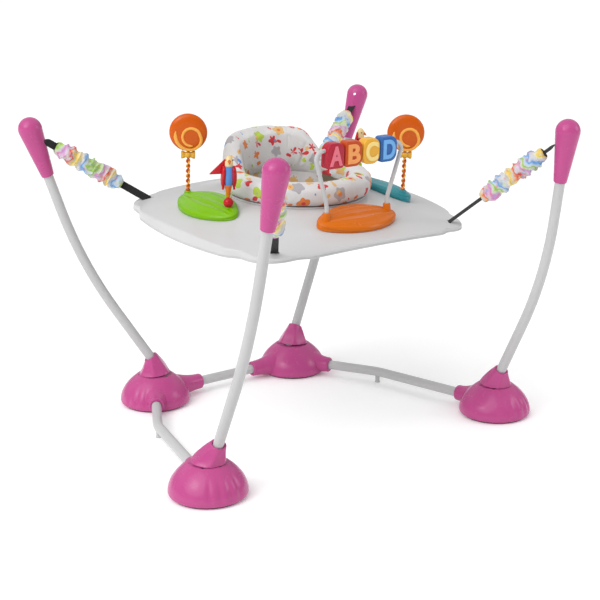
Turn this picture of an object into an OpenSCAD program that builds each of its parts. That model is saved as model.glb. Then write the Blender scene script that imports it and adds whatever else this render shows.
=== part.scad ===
// Free-standing baby jumper: four bent legs carry a sprung tray with a swivel seat and toys.
// Millimetres. +Z is up, the child faces -Y, and the origin is on the floor under the middle of the frame.
// "right" and "left" are the child's own: right is -X, left is +X.

/* [Tubes] */
// Outer diameter of the legs and base tubes
tube_d = 25; // [20:0.5:30]
// Wall of the legs and base tubes
tube_wall = 1.2; // [0.8:0.1:3]
// Bend of each leg, degrees
leg_bend = 16; // [8:1:22]
// Radius of the leg's bend
leg_bend_r = 1100; // [600:10:1200]
// Bend of each side base tube at its peg, radius
base_bend_r = 150; // [80:5:250]
// Height of the base tubes' centre above the floor
base_tube_z = 30; // [26:0.5:36]
// Bend of each side base tube, sideways from the middle
peg_x = 354; // [345:1:365]
// Bend of each side base tube, behind the middle
peg_y = 150; // [130:1:170]
// Slip clearance round every tube in its socket
tube_clear = 0.15; // [0.05:0.05:0.4]

/* [Stance] */
// Front feet, sideways from the middle
front_foot_x = 444; // [400:1:480]
// Front feet, forward of the middle
front_foot_y = 220; // [190:1:250]
// Rear feet, sideways from the middle
rear_foot_x = 226; // [200:1:260]
// Rear feet, behind the middle
rear_foot_y = 376; // [350:1:400]
// Front cap domes, sideways from the middle
front_cap_x = 417; // [390:1:440]
// Rear cap domes, sideways from the middle
rear_cap_x = 513; // [480:1:540]
// All cap domes, forward or behind the middle
cap_y = 454; // [430:1:480]
// Height of the front cap domes' centres
front_cap_z = 774; // [740:1:800]
// Height of the rear cap domes' centres
rear_cap_z = 750; // [720:1:780]

/* [Feet] */
// Diameter of the foot at the floor
foot_d = 184; // [170:1:200]
// Height of the foot's dome
foot_dome_h = 80; // [74:1:86]
// Height of the leg socket's rim
neck_h = 128; // [118:1:140]
// Wall of the leg socket at its rim
neck_wall = 6; // [4:0.5:9]
// Depth of the leg socket
neck_depth = 62; // [40:1:70]
// Outer diameter of the base tube sockets
socket_d = 41; // [36:1:46]
// Reach of the rear tube's sockets from the foot's centre
rear_socket_reach = 142; // [120:1:160]
// Reach of the side tubes' sockets from the foot's centre
side_socket_reach = 116; // [104:1:130]
// Radius of the crease between a foot's dome and its neck
crease_r = 46; // [42:1:54]
// Thickness of the rubber pad under each foot
pad_t = 3; // [2:0.5:6]
// Diameter of the peg under each side tube
peg_d = 12; // [8:0.5:16]

/* [Caps] */
// Diameter of the cap's dome
cap_d = 59; // [52:0.5:66]
// Length of the cap below the dome's centre
cap_len = 126; // [110:1:140]
// Diameter of the cap's lower end
cap_end_d = 32; // [31:0.5:38]
// Distance of the leg's top end below the dome's centre
leg_stop = 46; // [42:1:60]
// Distance of the strap's line below the dome's centre
anchor_drop = 11; // [9:1:20]
// Screw holes below the dome's centre: upper
screw_upper = 2; // [0:1:6]
// Screw holes below the dome's centre: lower
screw_lower = 84; // [76:1:96]

/* [Straps] */
// Width of the webbing
strap_w = 20; // [16:1:25]
// Thickness of the webbing
strap_t = 1.6; // [1.2:0.1:2.5]
// Free space round the webbing in its slots
strap_clear = 0.4; // [0.3:0.1:1]
// Distance from the cap's axis to the fabric cover
cover_start = 67; // [60:1:80]
// Length of the fabric cover
cover_len = 186; // [160:1:200]
// Largest diameter of the fabric cover
cover_d = 48; // [42:1:56]
// Gathers along the fabric cover
cover_gathers = 9; // [6:1:12]
// Outer diameter of the spring in the cover
spring_d = 20; // [16:1:22]

/* [Tray] */
// Middle of the tray behind the middle of the frame
tray_y = 50; // [30:1:70]
// Height of the tray's rim plane
tray_z = 560; // [540:1:580]
// Forward tilt of the hanging tray, degrees
tray_tilt = 3; // [0:0.5:4]
// Half the width of the tray between its sides
tray_half_x = 356; // [350:1:362]
// Half the depth of the tray between front and rear
tray_half_y = 340; // [334:1:344]
// Radius of the tray's bulging sides
side_r = 900; // [800:50:1200]
// Radius of the tray's front and rear edges
front_r = 2600; // [2000:50:3500]
// Radius to which the tray's corners are rounded off
corner_r = 385; // [380:1:390]
// Middle of each corner lobe, along both sides
lobe_at = 233; // [229:1:237]
// Radius of the corner lobes
lobe_r = 82; // [78:1:86]
// Strap slots, sideways from the tray's middle
slot_x = 262; // [256:1:266]
// Strap slots, forward of or behind the tray's middle
slot_y = 276; // [270:1:280]
// Radius of the tray's domed top
dome_r = 1900; // [1800:50:2200]
// Thickness of the tray's skin and rim
tray_wall = 3.5; // [2.5:0.5:5]
// Depth of the tray's rim below the rim plane, in front
rim_low = 12; // [10:1:16]
// Radius of the curve along which the rim dips at the sides
rim_dip_r = 3000; // [2600:50:4000]
// Radius of the seat opening
opening_r = 150; // [140:1:155]
// Height of the seat ledge above the rim plane
ledge_z = 40; // [38:1:42]

/* [Seat] */
// Running clearance of the swivel ring
swivel_clear = 0.4; // [0.3:0.1:0.8]
// Thickness of the swivel ring's wall and flange
ring_t = 3.6; // [3:0.2:5]
// Radius of the seat pad's middle line
pad_mid_r = 156; // [154:1:158]
// Thickness of the seat pad
pad_thick = 60; // [56:1:64]
// Height of the seat pad in front
pad_h = 54; // [50:1:60]
// Height of the seat's back above the ring
back_h = 132; // [120:1:136]
// Half the angle that the back spans, degrees
back_span = 54; // [45:1:60]
// Depth of the sling below the tray's rim plane
sling_depth = 100; // [80:1:110]
// Diameter of the leg openings
leg_hole_d = 84; // [76:1:90]
// Thickness of the sling's fabric
sling_t = 2.4; // [2:0.2:4]

/* [Toys] */
// Distance of the toy bases from the tray's middle
toy_r = 240; // [238:1:244]
// Shift of each side base along its length
toy_shift = 30; // [20:1:34]
// Length of a toy base
toy_len = 226; // [222:1:230]
// Width of a toy base
toy_w = 112; // [106:1:114]
// Height of a toy base
toy_h = 20; // [16:1:26]
// Lollipop's stalk, along the base from its middle
stalk_at = 98; // [92:1:99]
// Bird's peg, along the base from its middle
bird_at = 80; // [72:1:86]
// Both of them, from the base's long axis toward the seat
post_in = 5; // [2:1:10]
// Height of the lollipop's centre above the tray
pop_z = 164; // [150:1:172]
// Diameter of the lollipop
pop_d = 92; // [80:1:100]
// Thickness of the lollipop
pop_t = 24; // [18:1:30]
// Turn of the lollipops about their stalks at rest, degrees
pop_turn = -36; // [-90:1:90]
// Diameter of the twisted stalk
stalk_d = 11; // [9:0.5:14]
// Diameter of the pins and posts that toys turn on
post_d = 8; // [6:0.5:10]
// Running clearance on posts and on the bead rod
spin_clear = 0.1; // [0.05:0.01:0.1]
// Diameter of the bead rod
rod_d = 10; // [8:0.5:11]
// Height of the bead rod above the tray
rod_z = 176; // [166:1:184]
// Half the distance between the rod's feet
rod_foot = 90; // [84:1:92]
// Lean of the rod's legs, degrees
rod_lean = 18; // [12:1:22]
// Width of a bead
bead_w = 49.5; // [44:0.5:50.5]
// Height of a bead
bead_h = 60; // [54:1:66]
// Thickness of a bead
bead_t = 26; // [22:1:30]
// Distance from one bead to the next
bead_pitch = 52; // [52:0.5:53]
// Distance of the rod below a bead's top
bead_top = 18; // [14:1:20]

/* [Hidden] */
$fn = 64;
CORNERS = ["front_right", "front_left", "rear_right", "rear_left"];
BEADS = ["a", "b", "c", "d"];

pink = [0.82, 0.36, 0.60];
white = [0.93, 0.93, 0.93];
black = [0.08, 0.08, 0.08];
steel = [0.7, 0.7, 0.72];
cloth = [0.92, 0.90, 0.88];
orange = [0.90, 0.45, 0.10];
green = [0.50, 0.76, 0.08];
teal = [0.20, 0.56, 0.60];
candy = [0.82, 0.38, 0.08];
yellow = [0.95, 0.76, 0.30];
red = [0.78, 0.10, 0.12];

// Vectors and frames
function unit(v) = v / norm(v);
function across(v, along) = unit(v - (v * along) * along);
// Matrix that puts the local origin at o, local Z along z and local X along x
function frame_at(o, z, x) = let (y = cross(z, x)) [
    [x[0], y[0], z[0], o[0]],
    [x[1], y[1], z[1], o[1]],
    [x[2], y[2], z[2], o[2]],
    [0, 0, 0, 1]
];
module placed(o, z, x) {
    multmatrix(frame_at(o, z, x)) children();
}

// Corners: name to its signs, feet and domes
function is_front(c) = c == "front_right" || c == "front_left";
function side_of(c) = c == "front_right" || c == "rear_right" ? -1 : 1;
function foot_at(c) = is_front(c)
    ? [side_of(c) * front_foot_x, -front_foot_y, 0]
    : [side_of(c) * rear_foot_x, rear_foot_y, 0];
function dome_at(c) = is_front(c)
    ? [side_of(c) * front_cap_x, -cap_y, front_cap_z]
    : [side_of(c) * rear_cap_x, cap_y, rear_cap_z];
// The leg leaves the foot a little beside its centre and bows outward
front_neck = [-10, -30];
rear_neck = [11, 1];
front_bow = [0.2, -1];
rear_bow = [0.75, 0.66];
function to_side(c, v, z) = [v[0] * side_of(c), v[1], z];
function neck_shift(c) = to_side(c, is_front(c) ? front_neck : rear_neck, neck_h);
function bow_of(c) = to_side(c, is_front(c) ? front_bow : rear_bow, 0);
function neck_at(c) = foot_at(c) + neck_shift(c);

// One bent leg from the neck to the dome: directions below and above the bend, and the bend's corner
leg_bend_at = 0.45;
function leg_chord(c) = norm(dome_at(c) - neck_at(c));
function leg_axis(c) = unit(dome_at(c) - neck_at(c));
function leg_rise(c) =
    let (
        a = leg_bend_at * leg_chord(c),
        b = leg_chord(c) - a,
        k = tan(leg_bend) / (a * b),
        m = leg_chord(c) / (a * b)
    )
    (sqrt(m * m + 4 * k * tan(leg_bend)) - m) / (2 * k);
function leg_low(c) = let (a = atan(leg_rise(c) / (leg_bend_at * leg_chord(c))))
    cos(a) * leg_axis(c) + sin(a) * across(bow_of(c), leg_axis(c));
function leg_corner(c) = neck_at(c) + leg_low(c) * norm([leg_rise(c), leg_bend_at * leg_chord(c)]);
function leg_high(c) = unit(dome_at(c) - leg_corner(c));

// Tray frame: tilted about X at the tray's middle
function on_tray_point(p) = [
    p[0],
    tray_y + p[1] * cos(tray_tilt) - p[2] * sin(tray_tilt),
    tray_z + p[1] * sin(tray_tilt) + p[2] * cos(tray_tilt)
];
module on_tray() {
    translate([0, tray_y, tray_z]) rotate([tray_tilt, 0, 0]) children();
}
dome_top = tray_half_y * tray_half_y / (2 * dome_r);
function dome_z(r) = dome_top - dome_r + sqrt(dome_r * dome_r - r * r);
// The dome rises to a cone round the seat, from hub_out in to hub_in
hub_in = 174;
hub_brow = 184;
hub_out = 296;
function hub_z(r) = ledge_z - 1.5 - (r - hub_brow) * (ledge_z - 1.9 - dome_z(hub_out)) / (hub_out - hub_brow);

// Strap line of a corner: from the cap's axis to the tray's slot
function slot_spot(c) = [side_of(c) * slot_x, (is_front(c) ? -1 : 1) * slot_y];
function slot_at(c) = let (s = slot_spot(c)) on_tray_point([s[0], s[1], dome_z(norm(s))]);
function anchor_at(c) = dome_at(c) - anchor_drop * leg_high(c);
function strap_dir(c) = unit(slot_at(c) - anchor_at(c));
function strap_len(c) = norm(slot_at(c) - anchor_at(c));
module on_strap(c) {
    placed(anchor_at(c), strap_dir(c), unit(cross([0, 0, 1], strap_dir(c)))) children();
}
// Cap frame: origin at the dome's centre, Z up the leg, X toward the tray
module on_cap(c) {
    placed(dome_at(c), leg_high(c), across(strap_dir(c), leg_high(c))) children();
}

// Runs of round bar or tube. A bend is a little thicker than the straights it joins, as bending leaves it
bend_swell = 0.3;
module section(d, wall, swell) {
    difference() {
        circle(d = d + swell);
        if (wall > 0) circle(d = d - 2 * wall - swell);
    }
}
// Straight that laps a little into the bends before and after it
bend_lap = 0.4;
module straight_run(length, d, wall, before, after) {
    lead = before ? bend_lap : 0;
    tail = after ? bend_lap : 0;
    translate([0, 0, -lead]) linear_extrude(length + lead + tail) section(d, wall, 0);
}
// Bend that starts along +Z and turns toward +X
module bend_run(radius, bend, d, wall) {
    multmatrix([[-1, 0, 0, radius], [0, 0, 1, 0], [0, 1, 0, 0], [0, 0, 0, 1]])
        rotate_extrude(angle = bend) translate([radius, 0]) section(d, wall, bend_swell);
}
module after_bend(radius, bend) {
    translate([radius * (1 - cos(bend)), 0, radius * sin(bend)]) rotate([0, bend, 0]) children();
}
module bent_tube(first, radius, bend, second) {
    straight_run(first, tube_d, tube_wall, false, true);
    translate([0, 0, first]) {
        bend_run(radius, bend, tube_d, tube_wall);
        after_bend(radius, bend) straight_run(second, tube_d, tube_wall, true, false);
    }
}

// Feet
foot_r = foot_d / 2;
belly_z = 12;
foot_tuck = 7;
foot_tuck_h = 5;
shoulder = 1.9;
dome_steps = 9;
// Smooth dome that tucks in at the floor and slopes to a crease under the neck
function foot_profile() = [
    [0, pad_t],
    [foot_r - foot_tuck, pad_t],
    [foot_r - 2, pad_t + foot_tuck_h],
    for (i = [0 : dome_steps])
        let (a = 90 * i / dome_steps)
        [crease_r + (foot_r - crease_r) * pow(cos(a), shoulder), belly_z + (foot_dome_h - belly_z) * sin(a)],
    [0, foot_dome_h]
];
// Where the base tubes leave a foot: the direction of each in plan
function peg_at(s) = [s * peg_x, peg_y, base_tube_z];
function side_dir(c) = let (p = peg_at(side_of(c)) - foot_at(c)) unit([p[0], p[1], 0]);
module on_base_tube(c, dir) {
    placed([foot_at(c)[0], foot_at(c)[1], base_tube_z], dir, [0, 0, 1]) children();
}
tube_start = 40;
module socket(c, dir, reach) {
    on_base_tube(c, dir) {
        cylinder(d = socket_d, h = reach - 4);
        translate([0, 0, reach - 4]) cylinder(d1 = socket_d, d2 = socket_d - 6, h = 4);
    }
}
module socket_bore(c, dir, reach) {
    on_base_tube(c, dir) translate([0, 0, tube_start - 0.5])
        cylinder(d = tube_d + 2 * tube_clear, h = reach);
}
module foot(c) {
    base = foot_at(c);
    rim_d = tube_d + 2 * (tube_clear + neck_wall);
    color(pink) difference() {
        union() {
            translate(base) rotate_extrude() polygon(foot_profile());
            // Neck lofted from the dome's crease to the leaning rim
            hull() {
                translate([base[0], base[1], foot_dome_h - 6]) cylinder(r = crease_r - 3, h = 2, $fn = 32);
                placed(neck_at(c), leg_low(c), across([0, 1, 0], leg_low(c)))
                    translate([0, 0, -5]) cylinder(d = rim_d, h = 5, $fn = 32);
            }
            socket(c, side_dir(c), side_socket_reach);
            if (!is_front(c)) socket(c, [-side_of(c), 0, 0], rear_socket_reach);
        }
        placed(neck_at(c), leg_low(c), across([0, 1, 0], leg_low(c)))
            translate([0, 0, -neck_depth - 0.5]) cylinder(d = tube_d + 2 * tube_clear, h = neck_depth + 10);
        socket_bore(c, side_dir(c), side_socket_reach);
        if (!is_front(c)) socket_bore(c, [-side_of(c), 0, 0], rear_socket_reach);
        translate([base[0], base[1], pad_t - 20]) cylinder(r = foot_d, h = 20);
    }
}
module foot_pads() {
    color(black) for (c = CORNERS) translate(foot_at(c)) cylinder(r = foot_r - 10, h = pad_t);
}

// Tubes
module leg(c) {
    low = leg_low(c);
    high = leg_high(c);
    tangent = leg_bend_r * tan(leg_bend / 2);
    first = norm(leg_corner(c) - neck_at(c)) - tangent + neck_depth;
    second = norm(dome_at(c) - leg_corner(c)) - tangent - leg_stop;
    color(white) placed(neck_at(c) - neck_depth * low, low, across(high, low))
        bent_tube(first, leg_bend_r, leg_bend, second);
}
module side_tube(s) {
    rear = s < 0 ? "rear_right" : "rear_left";
    front = s < 0 ? "front_right" : "front_left";
    out = side_dir(rear);
    on = -side_dir(front);
    bend = acos(out * on);
    tangent = base_bend_r * tan(bend / 2);
    start = foot_at(rear) + [0, 0, base_tube_z] + tube_start * out;
    first = norm(peg_at(s) - start) - tangent;
    second = norm(peg_at(s) - foot_at(front) - [0, 0, base_tube_z]) - tangent - tube_start;
    color(white) placed(start, out, across(on, out)) bent_tube(first, base_bend_r, bend, second);
}
module rear_tube() {
    length = 2 * (rear_foot_x - tube_start);
    color(white) translate([-length / 2, rear_foot_y, base_tube_z]) rotate([0, 90, 0]) difference() {
        cylinder(d = tube_d, h = length);
        translate([0, 0, -1]) cylinder(d = tube_d - 2 * tube_wall, h = length + 2);
    }
}
// Short pegs under the bends of the side tubes, each with a saddle for its tube
module pegs() {
    color(white) for (s = [-1, 1]) {
        out = side_dir(s < 0 ? "rear_right" : "rear_left");
        on = -side_dir(s < 0 ? "front_right" : "front_left");
        spot = peg_at(s) + unit(on - out) * base_bend_r * (1 / cos(acos(out * on) / 2) - 1);
        difference() {
            translate([spot[0], spot[1], 0]) {
                cylinder(d = peg_d, h = base_tube_z);
                cylinder(d1 = peg_d + 3, d2 = peg_d, h = 5);
            }
            placed(spot, unit(out + on), [0, 0, 1])
                cylinder(d = tube_d + 4 * tube_clear, h = 4 * peg_d, center = true);
        }
    }
}

// Caps
cap_r = cap_d / 2;
// Half angle of the cone that leaves the dome smoothly and ends at the lower diameter
cap_end_r = cap_end_d / 2;
cap_slant = cap_len * cap_len + cap_end_r * cap_end_r;
cap_angle = asin((cap_r * cap_len - cap_end_r * sqrt(cap_slant - cap_r * cap_r)) / cap_slant);
cap_steps = 10;
function cap_profile() = [
    [0, -cap_len],
    [cap_end_r - 1, -cap_len],
    [cap_end_r, -cap_len + 1],
    for (i = [0 : cap_steps])
        let (a = -cap_angle + (90 + cap_angle) * i / cap_steps)
        [i == cap_steps ? 0 : cap_r * cos(a), cap_r * sin(a)]
];
screw_head_d = 7;
screw_d = 3.6;
screw_sink = 5;
screw_long = 9;
// Depth of a cap's surface from its axis, at a distance below the dome's centre
function cap_surface(drop) = drop < cap_r * sin(cap_angle)
    ? sqrt(cap_r * cap_r - drop * drop)
    : cap_r * cos(cap_angle) - (drop - cap_r * sin(cap_angle)) * tan(cap_angle);
function screw_seat(drop) = cap_surface(drop) - (drop == screw_lower ? 2.5 : screw_sink);
module screw_way(drop, clear) {
    translate([screw_seat(drop), 0, -drop]) rotate([0, 90, 0]) cylinder(d = screw_head_d + 2 * clear, h = 20);
    translate([screw_seat(drop) - screw_long - clear, 0, -drop]) rotate([0, 90, 0])
        cylinder(d = screw_d + 2 * clear, h = screw_long + 1);
}
module cap(c) {
    color(pink) difference() {
        on_cap(c) difference() {
            rotate_extrude() polygon(cap_profile());
            translate([0, 0, -cap_len - 1])
                cylinder(d = tube_d + 2 * tube_clear, h = cap_len + 1 - leg_stop + 0.5);
            screw_way(screw_upper, 0.1);
            screw_way(screw_lower, 0.1);
        }
        on_strap(c) translate([0, 0, pocket_floor - 0.5]) webbing(cap_d, strap_clear);
    }
}
// Screw: countersunk disc head with a cross slot, and a plain shank
module cap_screw(drop, shank) {
    translate([screw_seat(drop), 0, -drop]) rotate([0, 90, 0]) difference() {
        union() {
            cylinder(d = screw_head_d, h = 2);
            translate([0, 0, -shank]) cylinder(d = screw_d, h = shank + 1);
        }
        for (a = [0, 90]) rotate(a) translate([0, 0, 2]) cube([4.4, 0.9, 2], center = true);
    }
}
module cap_screws() {
    color(steel) for (c = CORNERS) on_cap(c) {
        cap_screw(screw_upper, screw_long);
        cap_screw(screw_lower, screw_seat(screw_lower) - tube_d / 2 - tube_clear - 0.2);
    }
}

// Straps, covers and springs, along the strap line
pocket_floor = 12;
strap_grip = 14;
module webbing(length, clear) {
    translate([-strap_w / 2 - clear, -strap_t / 2 - clear, 0])
        cube([strap_w + 2 * clear, strap_t + 2 * clear, length]);
}
module upper_strap(c) {
    color(black) on_strap(c) translate([0, 0, pocket_floor])
        webbing(cover_start + strap_grip - pocket_floor, 0);
}
neck_bore = norm([strap_w / 2, strap_t / 2]) + strap_clear;
cover_neck_r = neck_bore + 2;
gather_steps = 6;
// Radius of the gathered cloth at a share of its length: narrow ends, fat uneven gathers
function gather_r(t) = let (wave = 0.5 - 0.5 * cos(360 * cover_gathers * t), fat = pow(sin(180 * t), 0.35))
    cover_neck_r + (cover_d / 2 - cover_neck_r) * fat * (0.45 + 0.55 * wave);
module spring_cover(c) {
    count = cover_gathers * gather_steps;
    wall_in = strap_grip - 4;
    core_r = max(spring_d / 2, neck_bore) + strap_clear;
    color(cloth) on_strap(c) translate([0, 0, cover_start]) difference() {
        rotate_extrude() polygon([
            [0, 0],
            for (i = [0 : count]) [gather_r(i / count), cover_len * i / count],
            [0, cover_len]
        ]);
        translate([0, 0, -1]) cylinder(r = neck_bore, h = cover_len + 2);
        translate([0, 0, wall_in]) cylinder(r = core_r, h = cover_len - 2 * wall_in);
    }
}
// Closed-coil springs, hidden in the covers, as sleeves of their outer size
module springs() {
    color(steel) for (c = CORNERS) on_strap(c)
        translate([0, 0, cover_start + strap_grip + 0.2]) difference() {
            cylinder(d = spring_d, h = cover_len - 2 * strap_grip - 0.4);
            translate([0, 0, 3]) cylinder(d = spring_d - 6, h = cover_len - 2 * strap_grip - 6.4);
        }
}
bar_d = 8;
bar_gap = 0.15;
// The skin's outward normal at a slot, and the distance along the strap from the slot to the stop bar
function slot_normal(c) =
    let (n = slot_spot(c) / dome_r, up = sqrt(1 - n * n))
    [n[0], n[1] * cos(tray_tilt) - up * sin(tray_tilt), n[1] * sin(tray_tilt) + up * cos(tray_tilt)];
function bar_past(c) = -(tray_wall + bar_d / 2 + bar_gap) / (strap_dir(c) * slot_normal(c));
module lower_strap(c) {
    from = cover_start + cover_len - strap_grip;
    color(black) on_strap(c) translate([0, 0, from])
        webbing(strap_len(c) + bar_past(c) - bar_d / 2 - 0.2 - from, 0);
}
module strap_bars() {
    bar_len = strap_w + 16;
    color(black) for (c = CORNERS) on_strap(c) translate([-bar_len / 2, 0, strap_len(c) + bar_past(c)])
        rotate([0, 90, 0]) cylinder(d = bar_d, h = bar_len);
}

// Tray
module tray_outline(inset) {
    intersection() {
        intersection_for(x = [-1, 1])
            translate([x * (side_r - tray_half_x), 0]) circle(r = side_r - inset, $fn = 256);
        intersection_for(y = [-1, 1])
            translate([0, y * (front_r - tray_half_y)]) circle(r = front_r - inset, $fn = 256);
        circle(r = corner_r - inset, $fn = 256);
    }
    for (x = [-1, 1], y = [-1, 1]) translate([x * lobe_at, y * lobe_at]) circle(r = lobe_r - inset);
}
module tray_dome(drop) {
    translate([0, 0, dome_top - dome_r - drop]) sphere(r = dome_r, $fn = 256);
}
tray_deep = 120;
module tray_block(inset) {
    translate([0, 0, -tray_deep]) linear_extrude(2 * tray_deep) tray_outline(inset);
}
// Cone round the seat opening, with the ledge that the seat turns on
module hub() {
    rotate_extrude($fn = 128) polygon([
        [opening_r, ledge_z - 4],
        [opening_r, ledge_z],
        [hub_in, ledge_z],
        [hub_brow, hub_z(hub_brow)],
        [hub_out, hub_z(hub_out)],
        [hub_out + 8, dome_z(hub_out + 8) - 1.2],
        [hub_out + 8, dome_z(hub_out + 8) - 2.8],
        [hub_out, hub_z(hub_out) - tray_wall],
        [hub_brow - 2, hub_z(hub_brow) - tray_wall],
        [hub_in - 4, ledge_z - 4]
    ]);
}
module tray() {
    color(white) difference() {
        on_tray() union() {
            difference() {
                intersection() {
                    tray_block(0);
                    tray_dome(0);
                }
                translate([0, 0, -rim_low - rim_dip_r]) rotate([90, 0, 0])
                    cylinder(r = rim_dip_r, h = 1000, center = true, $fn = 256);
                intersection() {
                    tray_block(tray_wall);
                    tray_dome(tray_wall);
                }
                translate([0, 0, -tray_deep]) cylinder(r = hub_out + 1, h = 2 * tray_deep);
            }
            hub();
        }
        for (c = CORNERS) on_strap(c) translate([0, 0, strap_len(c) - 24]) webbing(48, 2);
    }
}

// Seat
ring_top = ledge_z + swivel_clear + ring_t;
module seat_ring() {
    outer = opening_r - swivel_clear;
    color(white) on_tray() rotate_extrude($fn = 128) polygon([
        [outer - ring_t, 12],
        [outer - ring_t, ring_top],
        [hub_in, ring_top],
        [hub_in, ledge_z + swivel_clear],
        [outer, ledge_z + swivel_clear],
        [outer, 12]
    ]);
}
module seat_retainer() {
    color(white) on_tray() translate([0, 0, ledge_z - 12]) difference() {
        cylinder(r = opening_r + 14, h = 5, $fn = 128);
        translate([0, 0, -1]) cylinder(r = opening_r - swivel_clear + 0.1, h = 7, $fn = 128);
    }
}
// Padded ring that rises to a back: height and thickness change round it
pad_around = 72;
pad_across = 16;
back_ends = 13;
back_fade = 30;
// Share of the back's height at an angle from the middle: it falls off smoothly at both ends
function back_share(a) = let (t = max(0, min(1, (back_span + back_ends - abs(a)) / back_fade))) t * t * (3 - 2 * t);
function pad_top(a) = pad_h + (back_h - pad_h) * back_share(a) * (0.8 + 0.2 * cos(a * 90 / back_span));
function soft(v) = sign(v) * pow(abs(v), 0.7);
function pad_point(i, j) =
    let (
        a = 360 * i / pad_around - 180,
        b = 360 * j / pad_across,
        tall = pad_top(a),
        up = 0.5 + 0.5 * soft(sin(b)),
        thin = 1 - 0.42 * back_share(a) * up,
        lean = 14 * back_share(a) * up,
        r = pad_mid_r + lean + pad_thick / 2 * thin * soft(cos(b))
    )
    [r * sin(a), r * cos(a), ring_top + 0.3 + tall * up];
module seat_pad() {
    points = [for (i = [0 : pad_around - 1], j = [0 : pad_across - 1]) pad_point(i, j)];
    function at(i, j) = (i % pad_around) * pad_across + j % pad_across;
    faces = [
        for (i = [0 : pad_around - 1], j = [0 : pad_across - 1])
            each [[at(i, j), at(i, j + 1), at(i + 1, j + 1)], [at(i, j), at(i + 1, j + 1), at(i + 1, j)]]
    ];
    color(cloth) on_tray() polyhedron(points, faces);
}
// Sling: cloth bucket under the ring with two leg openings in front
function sling_profile(grow) = [
    [0, -sling_depth - grow],
    [62 + grow, -sling_depth - grow],
    [92 + grow, -sling_depth + 10 - grow],
    [112 + grow, -sling_depth + 34],
    [132 + grow, -sling_depth + 78]
];
module seat_sling() {
    rim_r = opening_r - swivel_clear - ring_t - 0.3;
    color(cloth) on_tray() difference() {
        rotate_extrude() polygon(concat(sling_profile(sling_t),
            [[rim_r, 8], [rim_r, ring_top - 2], [rim_r - sling_t, ring_top - 2], [rim_r - sling_t, 8]],
            [for (i = [4 : -1 : 0]) sling_profile(0)[i]]));
        for (s = [-1, 1]) rotate(s * 32) translate([0, 0, -sling_depth * 0.34])
            rotate([100, 0, 0]) cylinder(d = leg_hole_d, h = 200);
    }
}

// Toy bases: X outward, Y along the base, Z up, origin on the tray's cone
module on_toy(turn) {
    shift = turn == -90 ? 0 : toy_shift;
    on_tray() rotate(turn) translate([toy_r, -shift, hub_z(norm([toy_r, shift]))]) children();
}
toy_slope = atan((hub_z(hub_brow) - hub_z(hub_out)) / (hub_out - hub_brow));
base_steps = 6;
base_edge = 4;
function toy_profile() = [
    [0, -12],
    [toy_len / 2, -12],
    [toy_len / 2, base_edge],
    for (i = [1 : base_steps])
        let (a = 90 * i / base_steps)
        [i == base_steps ? 0 : toy_len / 2 * pow(cos(a), 0.8), base_edge + (toy_h - base_edge) * sin(a)]
];
boss_d = 18;
side_boss = 20;
front_boss = 30;
// Room for the tray's cone under a base
base_gap = 0.2;
module cone_room() {
    rotate_extrude($fn = 128) polygon([
        [0, -60],
        [0, ledge_z + base_gap],
        [hub_in, ledge_z + base_gap],
        [hub_brow, hub_z(hub_brow) + base_gap],
        [hub_out, hub_z(hub_out) + base_gap],
        [hub_out + 40, dome_z(hub_out + 40) + 1],
        [hub_out + 40, -60]
    ]);
}
module toy_base(turn, tint, posts, boss, pin_d, pin_z) {
    color(tint) difference() {
        on_toy(turn) difference() {
            union() {
                rotate([0, toy_slope, 0]) scale([toy_w / toy_len, 1, 1])
                    rotate_extrude() polygon(toy_profile());
                for (p = posts) translate([p[0], p[1], 0]) {
                    cylinder(d = boss_d, h = boss - 3);
                    translate([0, 0, boss - 3]) cylinder(d1 = boss_d, d2 = boss_d - 5, h = 3);
                }
            }
            for (p = posts) translate([p[0], p[1], pin_z]) cylinder(d = pin_d, h = boss);
        }
        on_tray() cone_room();
    }
}
side_posts = [[-post_in, -stalk_at], [-post_in, bird_at]];
front_posts = [[0, -rod_foot], [0, rod_foot]];
pin_floor = 3;
module side_base(turn, tint) {
    toy_base(turn, tint, side_posts, side_boss, post_d + 2 * spin_clear, pin_floor);
}
module front_base() {
    toy_base(-90, orange, front_posts, front_boss, rod_d + 2 * tube_clear, rod_sunk - 0.3);
}

// Bead rod: feet in the front base, legs that lean out, and a level bar for the beads
rod_bend_r = 70;
rod_turn_r = 18;
rod_straight = 30;
rod_sunk = 6;
lean_len = (rod_z - rod_sunk - rod_straight - rod_bend_r * sin(rod_lean) - rod_turn_r * (1 + sin(rod_lean)))
    / cos(rod_lean);
rod_half = rod_foot + rod_bend_r * (1 - cos(rod_lean)) + lean_len * sin(rod_lean)
    - rod_turn_r * cos(rod_lean);
module rod_leg() {
    straight_run(rod_straight, rod_d, 0, false, true);
    translate([0, 0, rod_straight]) {
        bend_run(rod_bend_r, rod_lean, rod_d, 0);
        after_bend(rod_bend_r, rod_lean) {
            straight_run(lean_len, rod_d, 0, true, true);
            translate([0, 0, lean_len]) rotate(180) bend_run(rod_turn_r, 90 + rod_lean, rod_d, 0);
        }
    }
}
module bead_rod() {
    color(white) on_toy(-90) {
        for (s = [-1, 1]) rotate(s * 90) translate([rod_foot, 0, rod_sunk]) rod_leg();
        translate([0, -rod_half, rod_z]) rotate([-90, 0, 0]) straight_run(2 * rod_half, rod_d, 0, true, true);
    }
}
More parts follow.
